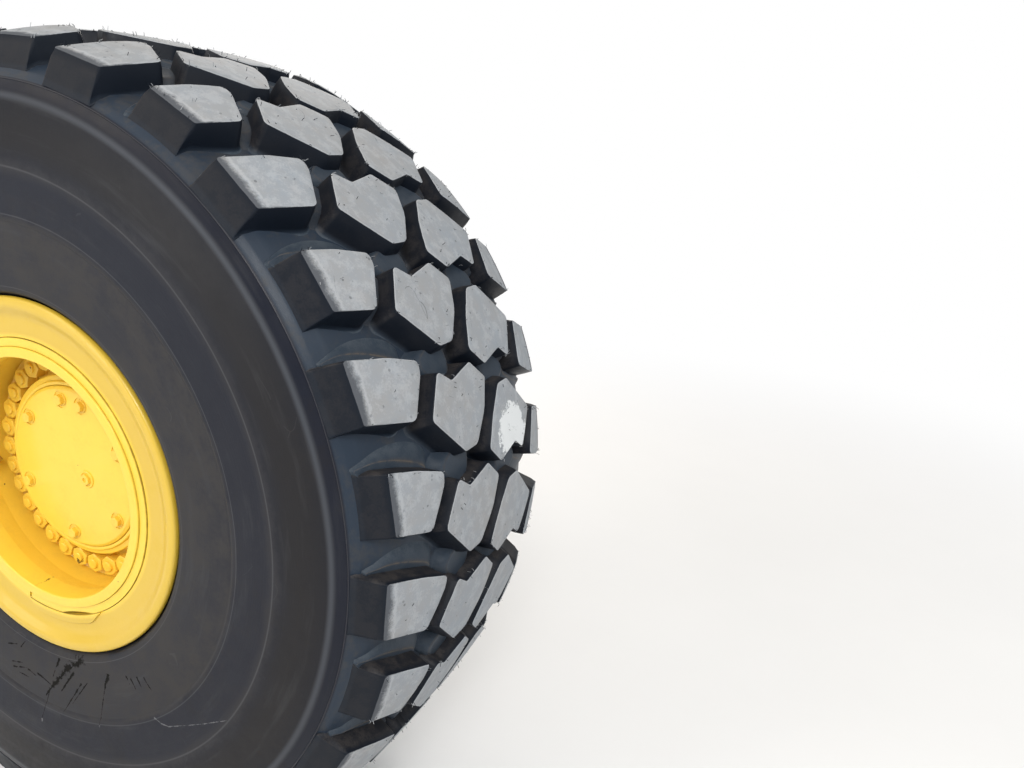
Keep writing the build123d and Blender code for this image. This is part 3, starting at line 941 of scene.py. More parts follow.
@dataclass(frozen=True)
class SidewallFinish:
    """Rubber of the casing: sidewalls with rings, road dust, painted highlights and painted shade, and the
    floor of the tread.
    """

    name: str = "tyre_casing_rubber"
    wall: Colour = (0.0062, 0.0072, 0.0120)
    wall_blue: Colour = (0.0070, 0.0090, 0.0175)
    wall_warm: Colour = (0.0135, 0.0118, 0.0118)
    floor: Colour = (0.021, 0.032, 0.050)
    dust: Colour = (0.056, 0.052, 0.048)
    # Light colour of the scratches, and of the thin light ring lines, some of them painted highlights.
    scuff: Colour = (0.20, 0.20, 0.21)
    # Painted highlight along the sidewall's ridge.
    polish: Colour = (0.095, 0.105, 0.125)
    tar: Colour = (0.0045, 0.0042, 0.0030)
    rub: Colour = (0.048, 0.050, 0.055)
    scrape: Colour = (0.42, 0.42, 0.44)
    tar_strokes: Sequence[Stroke] = (
        ((0.074, -0.421), (0.036, -0.452), 0.0105),
        ((0.044, -0.438), (-0.006, -0.497), 0.0080),
        ((0.002, -0.486), (-0.044, -0.540), 0.0050),
        ((0.056, -0.452), (0.010, -0.514), 0.0030),
        ((0.006, -0.435), (-0.016, -0.485), 0.0030),
        ((0.168, -0.423), (0.156, -0.463), 0.0050),
        ((0.156, -0.463), (0.131, -0.562), 0.0013),
        ((-0.031, -0.524), (-0.064, -0.607), 0.0013),
        ((-0.155, -0.484), (-0.119, -0.478), 0.0020),
        ((-0.151, -0.497), (-0.103, -0.487), 0.0020),
        ((-0.132, -0.507), (-0.101, -0.511), 0.0020),
        ((-0.164, -0.440), (-0.134, -0.434), 0.0020),
        ((-0.121, -0.438), (-0.107, -0.421), 0.0016),
        ((0.243, -0.410), (0.256, -0.429), 0.0022),
        ((0.284, -0.394), (0.307, -0.417), 0.0026),
        ((0.262, -0.400), (0.276, -0.420), 0.0022),
        ((0.228, -0.409), (0.238, -0.424), 0.0020),
        ((0.078, -0.476), (0.012, -0.567), 0.0020),
        ((0.099, -0.466), (0.045, -0.535), 0.0016),
        ((-0.100, -0.489), (-0.074, -0.500), 0.0026),
        ((-0.066, -0.492), (-0.027, -0.507), 0.0026),
    )
    scrapes: Sequence[Stroke] = (
        ((-0.064, -0.610), (-0.065, -0.616), 0.0026),
        ((0.131, -0.563), (0.131, -0.567), 0.0018),
        ((0.311, -0.481), (0.330, -0.487), 0.0014),
        ((0.330, -0.487), (0.353, -0.486), 0.0017),
        ((0.353, -0.486), (0.410, -0.462), 0.0012),
        ((0.410, -0.462), (0.459, -0.440), 0.0010),
        ((0.459, -0.440), (0.526, -0.407), 0.0010),
    )
    bead_rib: float = 0.4272
    crease: float = 0.575
    band_edge: float = 0.668
    ridge: float = 0.796
    mould_line: float = 0.8252
    tread_edge: Point = (0.8265, 0.829)

    @staticmethod
    def marks(skin: Skin, strokes: Sequence[Stroke], ragged: float) -> Signal:
        """Mask of all the marks of one kind on the outer sidewall.

        Args:
            skin: The material.
            strokes: The marks.
            ragged: How torn their edges are.

        Returns:
            The mask.
        """
        mask: Value = 0.0
        for stroke in strokes:
            mask = skin.maths("MAXIMUM", mask, skin.mark(stroke, ragged))
        return mask * skin.maths("LESS_THAN", skin.effect("place_on_wheel").beside("Distance"), 0.0)

    def build(self) -> None:
        """Make the material."""
        skin = Skin(self.name)
        radius = skin.effect("place_on_wheel")
        patches = skin.effect("mottle", Scale=3.2, Contrast=1.1)
        clouds = skin.effect("mottle", Scale=12.0, Contrast=1.2, Offset=5.1)
        scratch = skin.effect("scratches", Scale=4.0, Width=0.004, Share=0.36)
        drifted = radius + (clouds - 0.5) * 0.014
        near_rim = skin.band(drifted, self.crease - 0.012, self.crease + 0.004, 1.0, 0.0)
        dusty = near_rim * skin.band(clouds, 0.0, 0.9, 0.16, 0.58)
        # Thin light lines at the crease and at the band's edge; the one at the band's edge is a painted
        # highlight.
        lines = skin.ring(radius, self.crease, 0.0022) + skin.ring(radius, self.band_edge, 0.003)
        wall = skin.layered(
            self.wall_blue,
            (skin.band(drifted, self.band_edge - 0.004, self.band_edge + 0.05), self.wall),
            (skin.ring(drifted, 0.735, 0.085) * 0.55, self.wall_warm),
            # Bluish past the ridge: partly painted shade where the sidewall turns inward.
            (skin.band(radius, 0.798, 0.808), self.wall_blue),
            (skin.band(patches, 0.5, 1.0, 0.0, 0.35), self.wall_warm),
            (dusty, self.dust),
            # Painted highlight: a soft lighter band in the dust colour round the band's edge.
            (skin.ring(drifted, self.band_edge, 0.022) * 0.22, self.dust),
            # Painted highlight on the ridge.
            (skin.ring(radius, self.ridge, 0.011) * 0.45, self.polish),
            (lines * 0.16, self.scuff),
            (skin.ring(radius, self.mould_line, 0.0016) * 0.16, self.scuff),
            (skin.ring(radius, self.bead_rib, 0.0012) * 0.20, self.scuff),
        )
        tread = skin.band(radius, *self.tread_edge)
        dusty_floor = skin.mixed(skin.band(clouds, 0.35, 0.9), self.floor, self.dust)
        sweep = skin.add("CombineXYZ", radius * 34.0, radius.beside("Turn") * 2.4)
        rubbed = skin.band(skin.noise(sweep, 1.0, 6.0, 0.62), 0.52, 0.74) * (1.0 - tread)
        wet = self.marks(skin, self.tar_strokes, 1.3)
        skin.dress(
            Base_Color=skin.layered(
                wall,
                (tread, skin.mixed(0.42, self.floor, dusty_floor)),
                (scratch * 0.05, self.scuff),
                (rubbed * 0.30, self.rub),
                (self.marks(skin, self.scrapes, 1.5) * 0.26, self.scrape),
                (wet * 0.9, self.tar),
            ),
            Roughness=clouds * 0.12 + 0.36 + dusty * 0.30 + wet * 0.5,
            Specular_IOR_Level=0.22,
            Normal=skin.relief(420.0, 0.00012, skin.stripes(radius * 260.0, 3.0) * 0.00010),
        )


@dataclass(frozen=True)
class LugFinish:
    """Rubber of the lugs: worn pale tops with a painted highlight on their edges, dark walls with a painted
    highlight at their foot, and dust on the leading walls.
    """

    name: str = "tyre_lug_rubber"
    top: Colour = (0.266, 0.294, 0.326)
    top_warm: Colour = (0.296, 0.296, 0.297)
    # Light colour of the worn edge's ragged boundary, and of the painted highlight on the top's rounded
    # edge.
    bright: Colour = (0.48, 0.50, 0.53)
    wall: Colour = (0.0052, 0.0084, 0.0150)
    low: Colour = (0.022, 0.034, 0.052)
    # Painted highlight along the foot of the walls.
    lip: Colour = (0.078, 0.098, 0.120)
    dust: Colour = (0.062, 0.055, 0.052)
    sand: Colour = (0.125, 0.105, 0.082)
    spot: Colour = (0.075, 0.082, 0.095)
    paint: Colour = (0.66, 0.68, 0.69)
    splash_radius: float = 0.941
    splash_across: float = 0.104
    splash_turn: float = radians(81.8)
    splash_size: float = 0.086

    def splash(self, skin: Skin) -> Signal:
        """Mask of the patch of white paint on one crown lug.

        Args:
            skin: The material.

        Returns:
            The mask.
        """
        place = skin.place()
        centre = polar(self.splash_radius, self.splash_across, self.splash_turn)
        torn = (skin.noise(place, 30.0, 6.0, 0.75) - 0.5) * 0.11
        away = skin.vector("DISTANCE", place, centre) + torn
        return skin.band(away, self.splash_size - 0.022, self.splash_size - 0.018, 1.0, 0.0)

    def build(self) -> None:
        """Make the material."""
        skin = Skin(self.name)
        depth, dust, worn = (
            skin.add("Attribute", output="Fac", attribute_name=name) for name in ("depth", "dust", "edge")
        )
        patches = skin.effect("mottle", Scale=6.0, Contrast=1.0)
        clouds = skin.effect("mottle", Scale=38.0, Contrast=1.1, Offset=2.3)
        specks = skin.effect("specks", Scale=62.0, Size=0.17, Share=0.20)
        scratch = skin.effect("scratches", Scale=5.0, Width=0.0035, Share=0.40)
        on_top = skin.band(depth + (clouds - 0.5) * 0.012, 0.012, 0.030, 1.0, 0.0)
        frayed = worn + (clouds - 0.5) * 0.45
        # Painted highlight on the rounded edge of the top, at half strength, and none near the outer edge of
        # shoulder lugs.
        rim = skin.band(depth, 0.001, 0.012) * skin.band(worn, 0.05, 0.25, 0.5, 0.0)
        splash = skin.maths("SUBTRACT", self.splash(skin), skin.band(clouds, 0.80, 0.95), clamp=True)
        top = skin.layered(
            self.top,
            (patches, self.top_warm),
            (skin.band(clouds, 0.55, 1.0, 0.0, 0.11), self.spot),
            (specks * 0.55, self.spot),
            (scratch * 0.55, self.spot),
            (skin.ring(frayed, 0.18, 0.24) * 0.35, self.bright),
            (skin.band(frayed, 0.26, 0.80, 0.0, 0.95), self.spot),
            (rim, self.bright),
            (splash, self.paint),
        )
        wall = skin.layered(
            self.wall,
            (skin.band(depth, 0.80, 1.03), self.low),
            # Painted highlight where the walls meet the floor, patchy.
            (skin.ring(depth, 0.985, 0.050) * skin.band(clouds, 0.1, 0.9, 0.25, 0.75), self.lip),
            (dust * skin.band(clouds, 0.2, 0.8, 0.35, 1.0), self.dust),
            (skin.band(dust, 0.50, 0.95) * skin.band(clouds, 0.15, 0.75, 0.15, 1.0), self.sand),
        )
        skin.dress(
            Base_Color=skin.mixed(on_top, wall, top),
            Roughness=clouds * 0.15 + 0.40 + on_top * 0.22,
            Specular_IOR_Level=0.16,
            Normal=skin.relief(380.0, 0.00018, specks * -0.0005),
        )


FINISHES = (
    LugFinish(),
    SidewallFinish(),
    PaintFinish(
        "wheel_yellow",
        (0.90, 0.625, 0.066),
        (0.87, 0.590, 0.056),
        seams=((0.3176, 0.0016, 0.7), (0.2988, 0.0010, 0.4), (0.1940, 0.0012, 0.2)),
        film_from=0.318,
        stains=(OIL_SPOT,),
    ),
    PaintFinish(
        "bolt_yellow",
        (0.90, 0.615, 0.066),
        (0.84, 0.545, 0.056),
        chip_share=0.04,
        dust_share=0.15,
        stains=(OIL_SPOT,),
    ),
    PaintFinish(
        "axle_dark",
        (0.030, 0.036, 0.046),
        (0.042, 0.046, 0.054),
        roughness=0.42,
        coat=0.1,
        peel_scale=220.0,
        peel_depth=0.0009,
        dust=(0.16, 0.13, 0.10),
        dust_share=0.4,
        chip=(0.13, 0.05, 0.02),
        chip_share=0.12,
    ),
    MetalFinish("turned_steel", (0.56, 0.56, 0.57), (0.20, 0.12, 0.07)),
    MetalFinish("dull_brass", (0.55, 0.43, 0.20), (0.20, 0.15, 0.08), 0.4),
    SealFinish(),
)


@dataclass(frozen=True)
class LugShape:
    """One kind of lug: its outline on the tread and the pitches that carry it.

    The outline's corners are (distance across from the centre plane, distance along the tread,
    corner radius) in metres, for the outer half of the tread, in order round the lug. The foot of
    a shoulder lug reaches no further out than foot_limit, and dusty_walls is how much dust its
    sides hold.
    """

    name: str
    corners: Sequence[tuple[float, float, float]]
    first: int
    step: int
    foot_limit: float = 1.0
    dusty_walls: float = 0.55

    def outline(self) -> list[Point]:
        """The outline with its corners rounded."""
        return rounded(self.corners, radians(14))

    def pitch_turns(self) -> list[float]:
        """Angles of the pitches that carry the lug."""
        return [count * PITCH_TURN for count in range(self.first, TREAD_PITCHES, self.step)]


@dataclass(frozen=True)
class Pad:
    """A raised floor between lugs.

    Its foot and its top have the same number of corners, as (distance across, distance along).
    Its steps are how far up and how far in each loop of its side is, as shares.
    """

    foot: Sequence[Point]
    top: Sequence[Point]
    height: float
    dusty_lip: float = 0.6
    dusty_top: float = 0.12
    steps: Sequence[Point] = (
        (0.0, 0.0), (0.06, 0.23), (0.22, 0.47), (0.60, 0.68), (0.90, 0.83), (1.0, 1.0), (1.0, 1.12),
    )

    @staticmethod
    def softened(corners: Sequence[Point]) -> list[Vector]:
        """Cut the corners of a closed outline twice.

        Args:
            corners: The outline.

        Returns:
            The softer outline.
        """
        points = [Vector(corner) for corner in corners]
        for _ in range(2):
            after = points[1:] + points[:1]
            points = [a.lerp(b, share) for a, b in zip(points, after) for share in (0.25, 0.75)]
        return points

    def outline(self, share: float) -> list[Vector]:
        """The outline at a share of the way from the foot to the top."""
        return [a.lerp(b, share) for a, b in zip(self.softened(self.foot), self.softened(self.top))]


@dataclass
class Tyre:
    """The tyre: its casing, the lugs with the raised floors between them, and the vent hairs."""

    dresser: Dresser
    turn_along: float = 0.228
    depth: float = 0.058
    lug_edge: float = 0.0035
    draft: float = tan(radians(7.0))
    trailing_flare: float = 1.5
    crown_foot: float = 0.014
    shoulder_foot: float = 0.012
    shoulder_reach: float = 0.3
    outer_wall: float = 0.004
    grid: float = 0.024
    segments: int = 224
    crown_width: float = 0.212
    crown_drop: float = 0.0065
    shoulder_drop: float = 0.2932
    shoulder_power: float = 1.176
    floor_top: float = 0.885
    floor_flat: float = 0.15
    floor_drop: float = 0.62
    floor_power: float = 1.75
    floor_edge: float = 0.352
    edge_drop: float = 0.009
    edge_span: Point = (0.325, 0.358)
    edge_slope: float = 0.7
    even_width: float = 0.05
    even_share: float = 0.7
    worn_width: float = 0.020
    least_depth: float = 0.12
    most_depth: float = 1.1
    outer_depth: float = 0.86
    sidewall: Sequence[Point] = (
        (0.8325, 0.3572), (0.8285, 0.3608), (0.8270, 0.3640), (0.8252, 0.3652), (0.8232, 0.3640),
        (0.8210, 0.3650), (0.8100, 0.3700), (0.8000, 0.3727), (0.7930, 0.3742), (0.7860, 0.3747),
        (0.7600, 0.3757), (0.7300, 0.3766), (0.7000, 0.3768), (0.6720, 0.3762), (0.6640, 0.3755),
        (0.6300, 0.3728), (0.5900, 0.3692), (0.5680, 0.3674), (0.5635, 0.3668), (0.5615, 0.3650),
        (0.5590, 0.3652), (0.5300, 0.3645), (0.5000, 0.3630), (0.4700, 0.3605), (0.4500, 0.3580),
        (0.4350, 0.3560), (0.4220, 0.3535), (0.4135, 0.3480), (0.4095, 0.3390), (0.4020, 0.3290),
        (0.3890, 0.3205), (0.3700, 0.3172), (0.3415, 0.3172),
    )
    liner: Sequence[Point] = (
        (BEAD_RADIUS - 0.0011, 0.3012), (BEAD_RADIUS - 0.0065, 0.2395), (0.420, 0.285), (0.560, 0.331),
        (0.720, 0.341), (0.801, 0.305), (0.845, 0.140),
    )
    notch_pad: Pad = Pad(
        (
            (-0.202, 0.058), (-0.169, 0.117), (-0.110, 0.161), (-0.029, 0.131), (-0.032, 0.030),
            (-0.121, 0.022),
        ),
        (
            (-0.163, 0.070), (-0.144, 0.104), (-0.110, 0.129), (-0.064, 0.112), (-0.065, 0.054),
            (-0.117, 0.049),
        ),
        0.030,
    )
    groove_pad: Pad = Pad(
        ((-0.209, 0.055), (-0.276, 0.175), (-0.190, 0.213), (-0.117, 0.092)),
        ((-0.206, 0.085), (-0.246, 0.148), (-0.203, 0.162), (-0.150, 0.110)),
        0.022,
        dusty_top=0.48,
    )
    shelf_pad: Pad = Pad(
        (
            (-0.352, 0.009), (-0.341, 0.003), (-0.318, -0.008), (-0.290, -0.016), (-0.258, -0.018),
            (-0.222, -0.013), (-0.185, 0.005), (-0.165, 0.035), (-0.200, 0.080), (-0.330, 0.050),
        ),
        (
            (-0.352, 0.013), (-0.342, 0.010), (-0.322, 0.008), (-0.300, 0.011), (-0.272, 0.019),
            (-0.240, 0.032), (-0.205, 0.049), (-0.190, 0.063), (-0.205, 0.080), (-0.330, 0.050),
        ),
        0.013,
        dusty_lip=0.78,
        steps=((0.0, 0.0), (0.10, 0.06), (0.90, 0.82), (1.0, 1.0), (1.0, 1.12)),
    )
    pad_sink: float = 0.003
    crown_lug: LugShape = LugShape(
        "crown_lugs",
        (
            (-0.152, 0.0965, 0.012), (-0.112, 0.124, 0.010), (-0.031, 0.1045, 0.012),
            (0.0165, 0.147, 0.012), (-0.015, 0.209, 0.070), (-0.066, 0.267, 0.022),
            (-0.114, 0.268, 0.014), (-0.207, 0.180, 0.012),
        ),
        0,
        1,
    )
    long_lug: LugShape = LugShape(
        "long_shoulder_lugs",
        (
            (-0.350, 0.0205, 0.006), (-0.265, 0.0415, 0.120), (-0.198, 0.066, 0.014),
            (-0.203, 0.090, 0.030), (-0.245, 0.169, 0.014), (-0.350, 0.142, 0.006),
        ),
        1,
        2,
        0.3638,
    )
    short_lug: LugShape = LugShape(
        "short_shoulder_lugs",
        (
            (-0.328, 0.025, 0.006), (-0.265, 0.0415, 0.120), (-0.198, 0.066, 0.014),
            (-0.203, 0.090, 0.030), (-0.245, 0.169, 0.014), (-0.328, 0.148, 0.006),
        ),
        0,
        2,
        0.3480,
    )
    hair_seed: int = 29
    hairs_per_lug: int = 22
    hair_width: float = 0.0006
    hair_length: Point = (0.004, 0.011)
    hair_root: float = 0.004
    hair_limit: float = 0.34

    def top_radius(self, across: float) -> float:
        """Radius of the lug tops.

        Args:
            across: Distance from the centre plane.

        Returns:
            The radius.
        """
        away = abs(across)
        drop = self.crown_drop * (away / self.crown_width) ** 2
        if away > self.crown_width:
            drop += self.shoulder_drop * (away - self.crown_width) ** self.shoulder_power
        return TREAD_RADIUS - drop

    def floor_radius(self, across: float) -> float:
        """Radius of the groove floor.

        Args:
            across: Distance from the centre plane.

        Returns:
            The radius.
        """
        away = abs(across)
        fall = self.floor_drop * max(0.0, away - self.floor_flat) ** self.floor_power
        return self.floor_top - fall - self.edge_drop * ease(away, *self.edge_span)

    def on_side(self, point: Sequence[float], side: Side) -> Point:
        """Point of the outer half of the tread, turned half round for the inner half."""
        return (-point[0], self.turn_along - point[1]) if side is Side.INNER else (point[0], point[1])

    def casing(self) -> None:
        """The casing, with the groove floors, both sidewalls and the inner liner."""
        edges = (0.300, 0.315, 0.330, 0.342, self.floor_edge)
        shoulder = [(self.floor_radius(away), away) for away in edges]
        wall = smooth_line(shoulder + list(self.sidewall), 0.006)
        outline = [(radius, -away) for radius, away in reversed(wall)]
        outline += [(self.floor_radius(y / 1000), y / 1000) for y in range(-290, 291, 20)]
        outline += wall + list(self.liner)
        outline += [(radius, -away) for radius, away in reversed(self.liner)]
        mesh = turned_mesh(outline, self.segments)
        self.dresser.piece("tyre_casing", mesh, Look.CASING, "tyre", radians(50))

    def lug_steps(self, foot: float) -> list[tuple[float, float, float]]:
        """Loops down a lug's side.

        Args:
            foot: Radius of the round at its foot.

        Returns:
            For each loop its distance out from the outline, its depth in metres at the top's edge,
            and its share of the way to the floor below that.
        """
        edge = self.lug_edge
        steps = [(-edge, 0.0, 0.0), (-edge * 0.35, edge * 0.22, 0.0), (0.0, edge, 0.0), (0.0, 0.0, 0.26)]
        for piece in range(6):
            bend = piece * pi / 10
            steps.append((foot * (1 - cos(bend)), 0.0, 1.03 - foot / self.depth * (1 - sin(bend))))
        return steps

    @staticmethod
    def ways_out(outline: Sequence[Point]) -> list[Vector]:
        """The way that each point of a closed outline faces.

        Args:
            outline: The outline, in either order.

        Returns:
            A direction of length 1 for each point.
        """
        pairs = [(outline[k - 1], outline[k]) for k in range(len(outline))]
        sign = 1.0 if sum(a[0] * b[1] - b[0] * a[1] for a, b in pairs) > 0 else -1.0
        ways = []
        for k in range(len(outline)):
            along = (Vector(outline[(k + 1) % len(outline)]) - Vector(outline[k - 1])).normalized()
            ways.append(Vector((along.y, -along.x)) * sign)
        return ways

    def lug_rings(
        self, made: bmesh.types.BMesh, shape: LugShape, outline: Sequence[Point]
    ) -> list[list[bmesh.types.BMVert]]:
        """Loops of points down a lug's side, as (across, along, drop of the top's edge).

        Args:
            made: The lug that gets the points, with its depth, dust and fall layers.
            shape: Its kind.
            outline: Its outline at the top.

        Returns:
            The loops, from the top's edge to the foot.
        """
        depth, dust, fall = (made.verts.layers.float[name] for name in ("depth", "dust", "fall"))
        reach = max(abs(x) for x, _ in outline)
        shoulder = reach > self.shoulder_reach
        ways = self.ways_out(outline)
        rings = []
        for inset, drop, share in self.lug_steps(self.shoulder_foot if shoulder else self.crown_foot):
            ring = []
            limit = reach + (shape.foot_limit - reach) * share
            for (x, y), way in zip(outline, ways):
                even = ease(abs(x), reach - self.even_width, reach) if shoulder else 0.0
                flare = self.trailing_flare * max(0.0, way.y if x < 0 else -way.y) * (1 - even)
                push = inset * (1 - self.even_share * even) + share * self.depth * self.draft * (1 + flare)
                across = x + way.x * push
                if shoulder and share > 0:
                    if abs(x) > reach - self.outer_wall:
                        across = limit if x > 0 else -limit
                    across = max(-limit, min(limit, across))
                vert = made.verts.new((across, y + way.y * push, drop))
                outer = shoulder and abs(across) > reach - self.outer_wall
                deepest = self.outer_depth if outer else self.most_depth
                # The outer walls of shoulder lugs stop at outer_depth, short of the painted foot highlight.
                vert[depth] = min(max(share, self.least_depth), deepest) if share else drop / self.depth
                facing = max((0.3 if outer else 0.8) * ease(abs(way.x), 0.6, 0.95), ease(-way.y, 0.45, 0.95))
                vert[dust] = shape.dusty_walls * facing * ease(share, 0.0, 0.25)
                vert[fall] = share
                ring.append(vert)
            rings.append(ring)
        return rings

    def lug(self, shape: LugShape, outline: Sequence[Point], turn: float) -> Mesh:
        """One lug, with its depth, dust and edge values.

        Args:
            shape: Its kind.
            outline: Its outline at the top, as (across, along).
            turn: The angle of its pitch.

        Returns:
            The lug's mesh.
        """
        made = bmesh.new()
        for name in ("depth", "dust", "edge", "fall"):
            made.verts.layers.float.new(name)
        rings = self.lug_rings(made, shape, outline)
        walls = {
            made.faces.new((low[k - 1], low[k], high[k], high[k - 1]))
            for low, high in zip(rings, rings[1:])
            for k in range(len(low))
        }
        made.faces.new(rings[0])
        self.grid_top(made, walls, outline)
        edge, fall = (made.verts.layers.float[name] for name in ("edge", "fall"))
        reach = max(abs(x) for x, _ in outline)
        worn = self.worn_width if reach > self.shoulder_reach else 0.0
        for vert in made.verts:
            x, y, drop = vert.co
            high = self.top_radius(x)
            past = max(0.0, abs(x) - self.floor_edge)
            low = self.floor_radius(min(abs(x), self.floor_edge)) - self.edge_slope * past
            radius = high - drop if vert[fall] == 0 else high + (low - high) * vert[fall]
            vert[edge] = max(0.0, (abs(x) - reach + worn) / worn) if worn else 0.0
            vert.co = polar(radius, x, turn + y / TREAD_RADIUS)
        made.verts.layers.float.remove(fall)
        bmesh.ops.recalc_face_normals(made, faces=made.faces)
        mesh = bpy.data.meshes.new("lug")
        made.to_mesh(mesh)
        made.free()
        return mesh

    def grid_top(
        self, made: bmesh.types.BMesh, walls: set[bmesh.types.BMFace], outline: Sequence[Point]
    ) -> None:
        """Cut a lug's flat top into a grid, so that it can follow the tread's curve.

        Args:
            made: The lug, its top at height 0.
            walls: The faces of its sides, which aren't cut.
            outline: The top's outline.
        """
        for axis, normal in enumerate((Vector((1, 0, 0)), Vector((0, 1, 0)))):
            ends = [point[axis] for point in outline]
            cut = min(ends) + self.grid
            while cut < max(ends) - self.grid * 0.4:
                top = [
                    face for face in made.faces
                    if face not in walls and all(abs(vert.co.z) < 1e-9 for vert in face.verts)
                ]
                edges = {edge for face in top for edge in face.edges}
                verts = {vert for face in top for vert in face.verts}
                geometry = top + list(edges) + list(verts)
                bmesh.ops.bisect_plane(made, geom=geometry, plane_co=normal * cut, plane_no=normal)
                cut += self.grid

    def lug_row(self, shape: LugShape, side: Side) -> None:
        """Every lug of one kind on one side of the tread.

        Args:
            shape: The kind of lug.
            side: The side.
        """
        outline = [self.on_side(point, side) for point in shape.outline()]
        lugs = [self.lug(shape, outline, turn) for turn in shape.pitch_turns()]
        name = f"tyre_{shape.name}_{side.name.lower()}"
        self.dresser.piece(name, joined(lugs), Look.LUG, "", radians(60))

    def pad_mesh(self, pad: Pad, side: Side, turn: float) -> Mesh:
        """One raised floor, with its depth and dust values.

        Args:
            pad: Its kind.
            side: The side of the tread.
            turn: The angle of its pitch.

        Returns:
            The mesh.
        """
        loops = []
        tones: dict[str, list[float]] = {"dust": [], "depth": []}
        for rise, share in pad.steps:
            loop = []
            for point in pad.outline(share):
                x, y = self.on_side(point, side)
                radius = self.floor_radius(x) - self.pad_sink + rise * pad.height
                loop.append(polar(radius, x, turn + y / TREAD_RADIUS))
            loops.append(loop)
            tones["dust"] += [pad.dusty_lip if rise == share == 1.0 else pad.dusty_top] * len(loop)
            # Pad feet sit at the depth of the painted foot highlight; their tops take part of it.
            tones["depth"] += [0.985 if share < 0.1 else 1.015] * len(loop)
        mesh = lofted(loops)
        for name, values in tones.items():
            mesh.attributes.new(name, "FLOAT", "POINT").data.foreach_set("value", values)
        return mesh

    def tie_bars(self) -> None:
        """The raised floors: in the notches, in the grooves and before the shoulder lugs."""
        meshes = [
            self.pad_mesh(pad, side, count * PITCH_TURN)
            for pad in (self.notch_pad, self.groove_pad, self.shelf_pad)
            for side in Side
            for count in range(TREAD_PITCHES)
        ]
        self.dresser.piece("tyre_tie_bars", joined(meshes), Look.LUG, "", radians(50))

    def hair(
        self, chance: random.Random, outline: Sequence[Point], side: Side, pitch: float
    ) -> tuple[list[Vector], float]:
        """One vent hair on the edge or the top of a lug.

        Args:
            chance: Where its place and shape are drawn from.
            outline: The lug's outline.
            side: The side of the tread.
            pitch: The angle of the lug's pitch.

        Returns:
            Its foot, its bend and its tip, and the depth value of its colour. There are no points
            where it would stand past the tread.
        """
        start = Vector(outline[chance.randrange(len(outline))])
        other = Vector(outline[chance.randrange(len(outline))])
        x, y = self.on_side(start.lerp(other, chance.choice((0.03, 0.1, 0.3, 0.5))), side)
        turn = pitch + y / TREAD_RADIUS
        foot = polar(self.top_radius(x) - self.hair_root, x, turn)
        out = polar(1, 0, turn) - polar(0, 0, 0)
        lean = Vector([chance.gauss(0, 0.6) for _ in range(3)])
        length = chance.uniform(*self.hair_length)
        bend = foot + (out + lean * 0.3).normalized() * length * 0.6
        tip = bend + (out * 0.5 + lean).normalized() * length * 0.6
        if max(abs(v) for v in (bend.x, bend.z, tip.x, tip.z)) > TREAD_RADIUS or abs(x) > self.hair_limit:
            return [], 0.0
        return [foot, bend, tip], chance.choice((0.0, 0.4))

    def hairs(self) -> None:
        """Vent hairs left on the lugs by the mould."""
        chance = random.Random(self.hair_seed)
        verts: list[Vector] = []
        tones: list[float] = []
        faces: list[tuple[int, int, int, int]] = []
        lugs = (
            (shape.outline(), side, pitch)
            for shape in (self.crown_lug, self.long_lug, self.short_lug)
            for side in Side
            for pitch in shape.pitch_turns()
            for _ in range(self.hairs_per_lug)
        )
        for outline, side, pitch in lugs:
            line, tone = self.hair(chance, outline, side, pitch)
            for first in range(len(verts), len(verts) + 3 * len(line) - 3, 3):
                for k in range(3):
                    after = (k + 1) % 3
                    faces.append((first + k, first + after, first + 3 + after, first + 3 + k))
            for point in line:
                for turned in turns(3):
                    around = Vector((cos(turned), sin(turned), cos(turned + 1)))
                    verts.append(point + around * self.hair_width)
                    tones.append(tone)
        mesh = mesh_from(verts, faces)
        mesh.attributes.new("depth", "FLOAT", "POINT").data.foreach_set("value", tones)
        self.dresser.piece("tyre_vent_hairs", mesh, Look.LUG)

    def build(self) -> None:
        """Build and dress the tyre."""
        self.casing()
        for shape in (self.crown_lug, self.long_lug, self.short_lug):
            for side in Side:
                self.lug_row(shape, side)
        self.tie_bars()
        self.hairs()


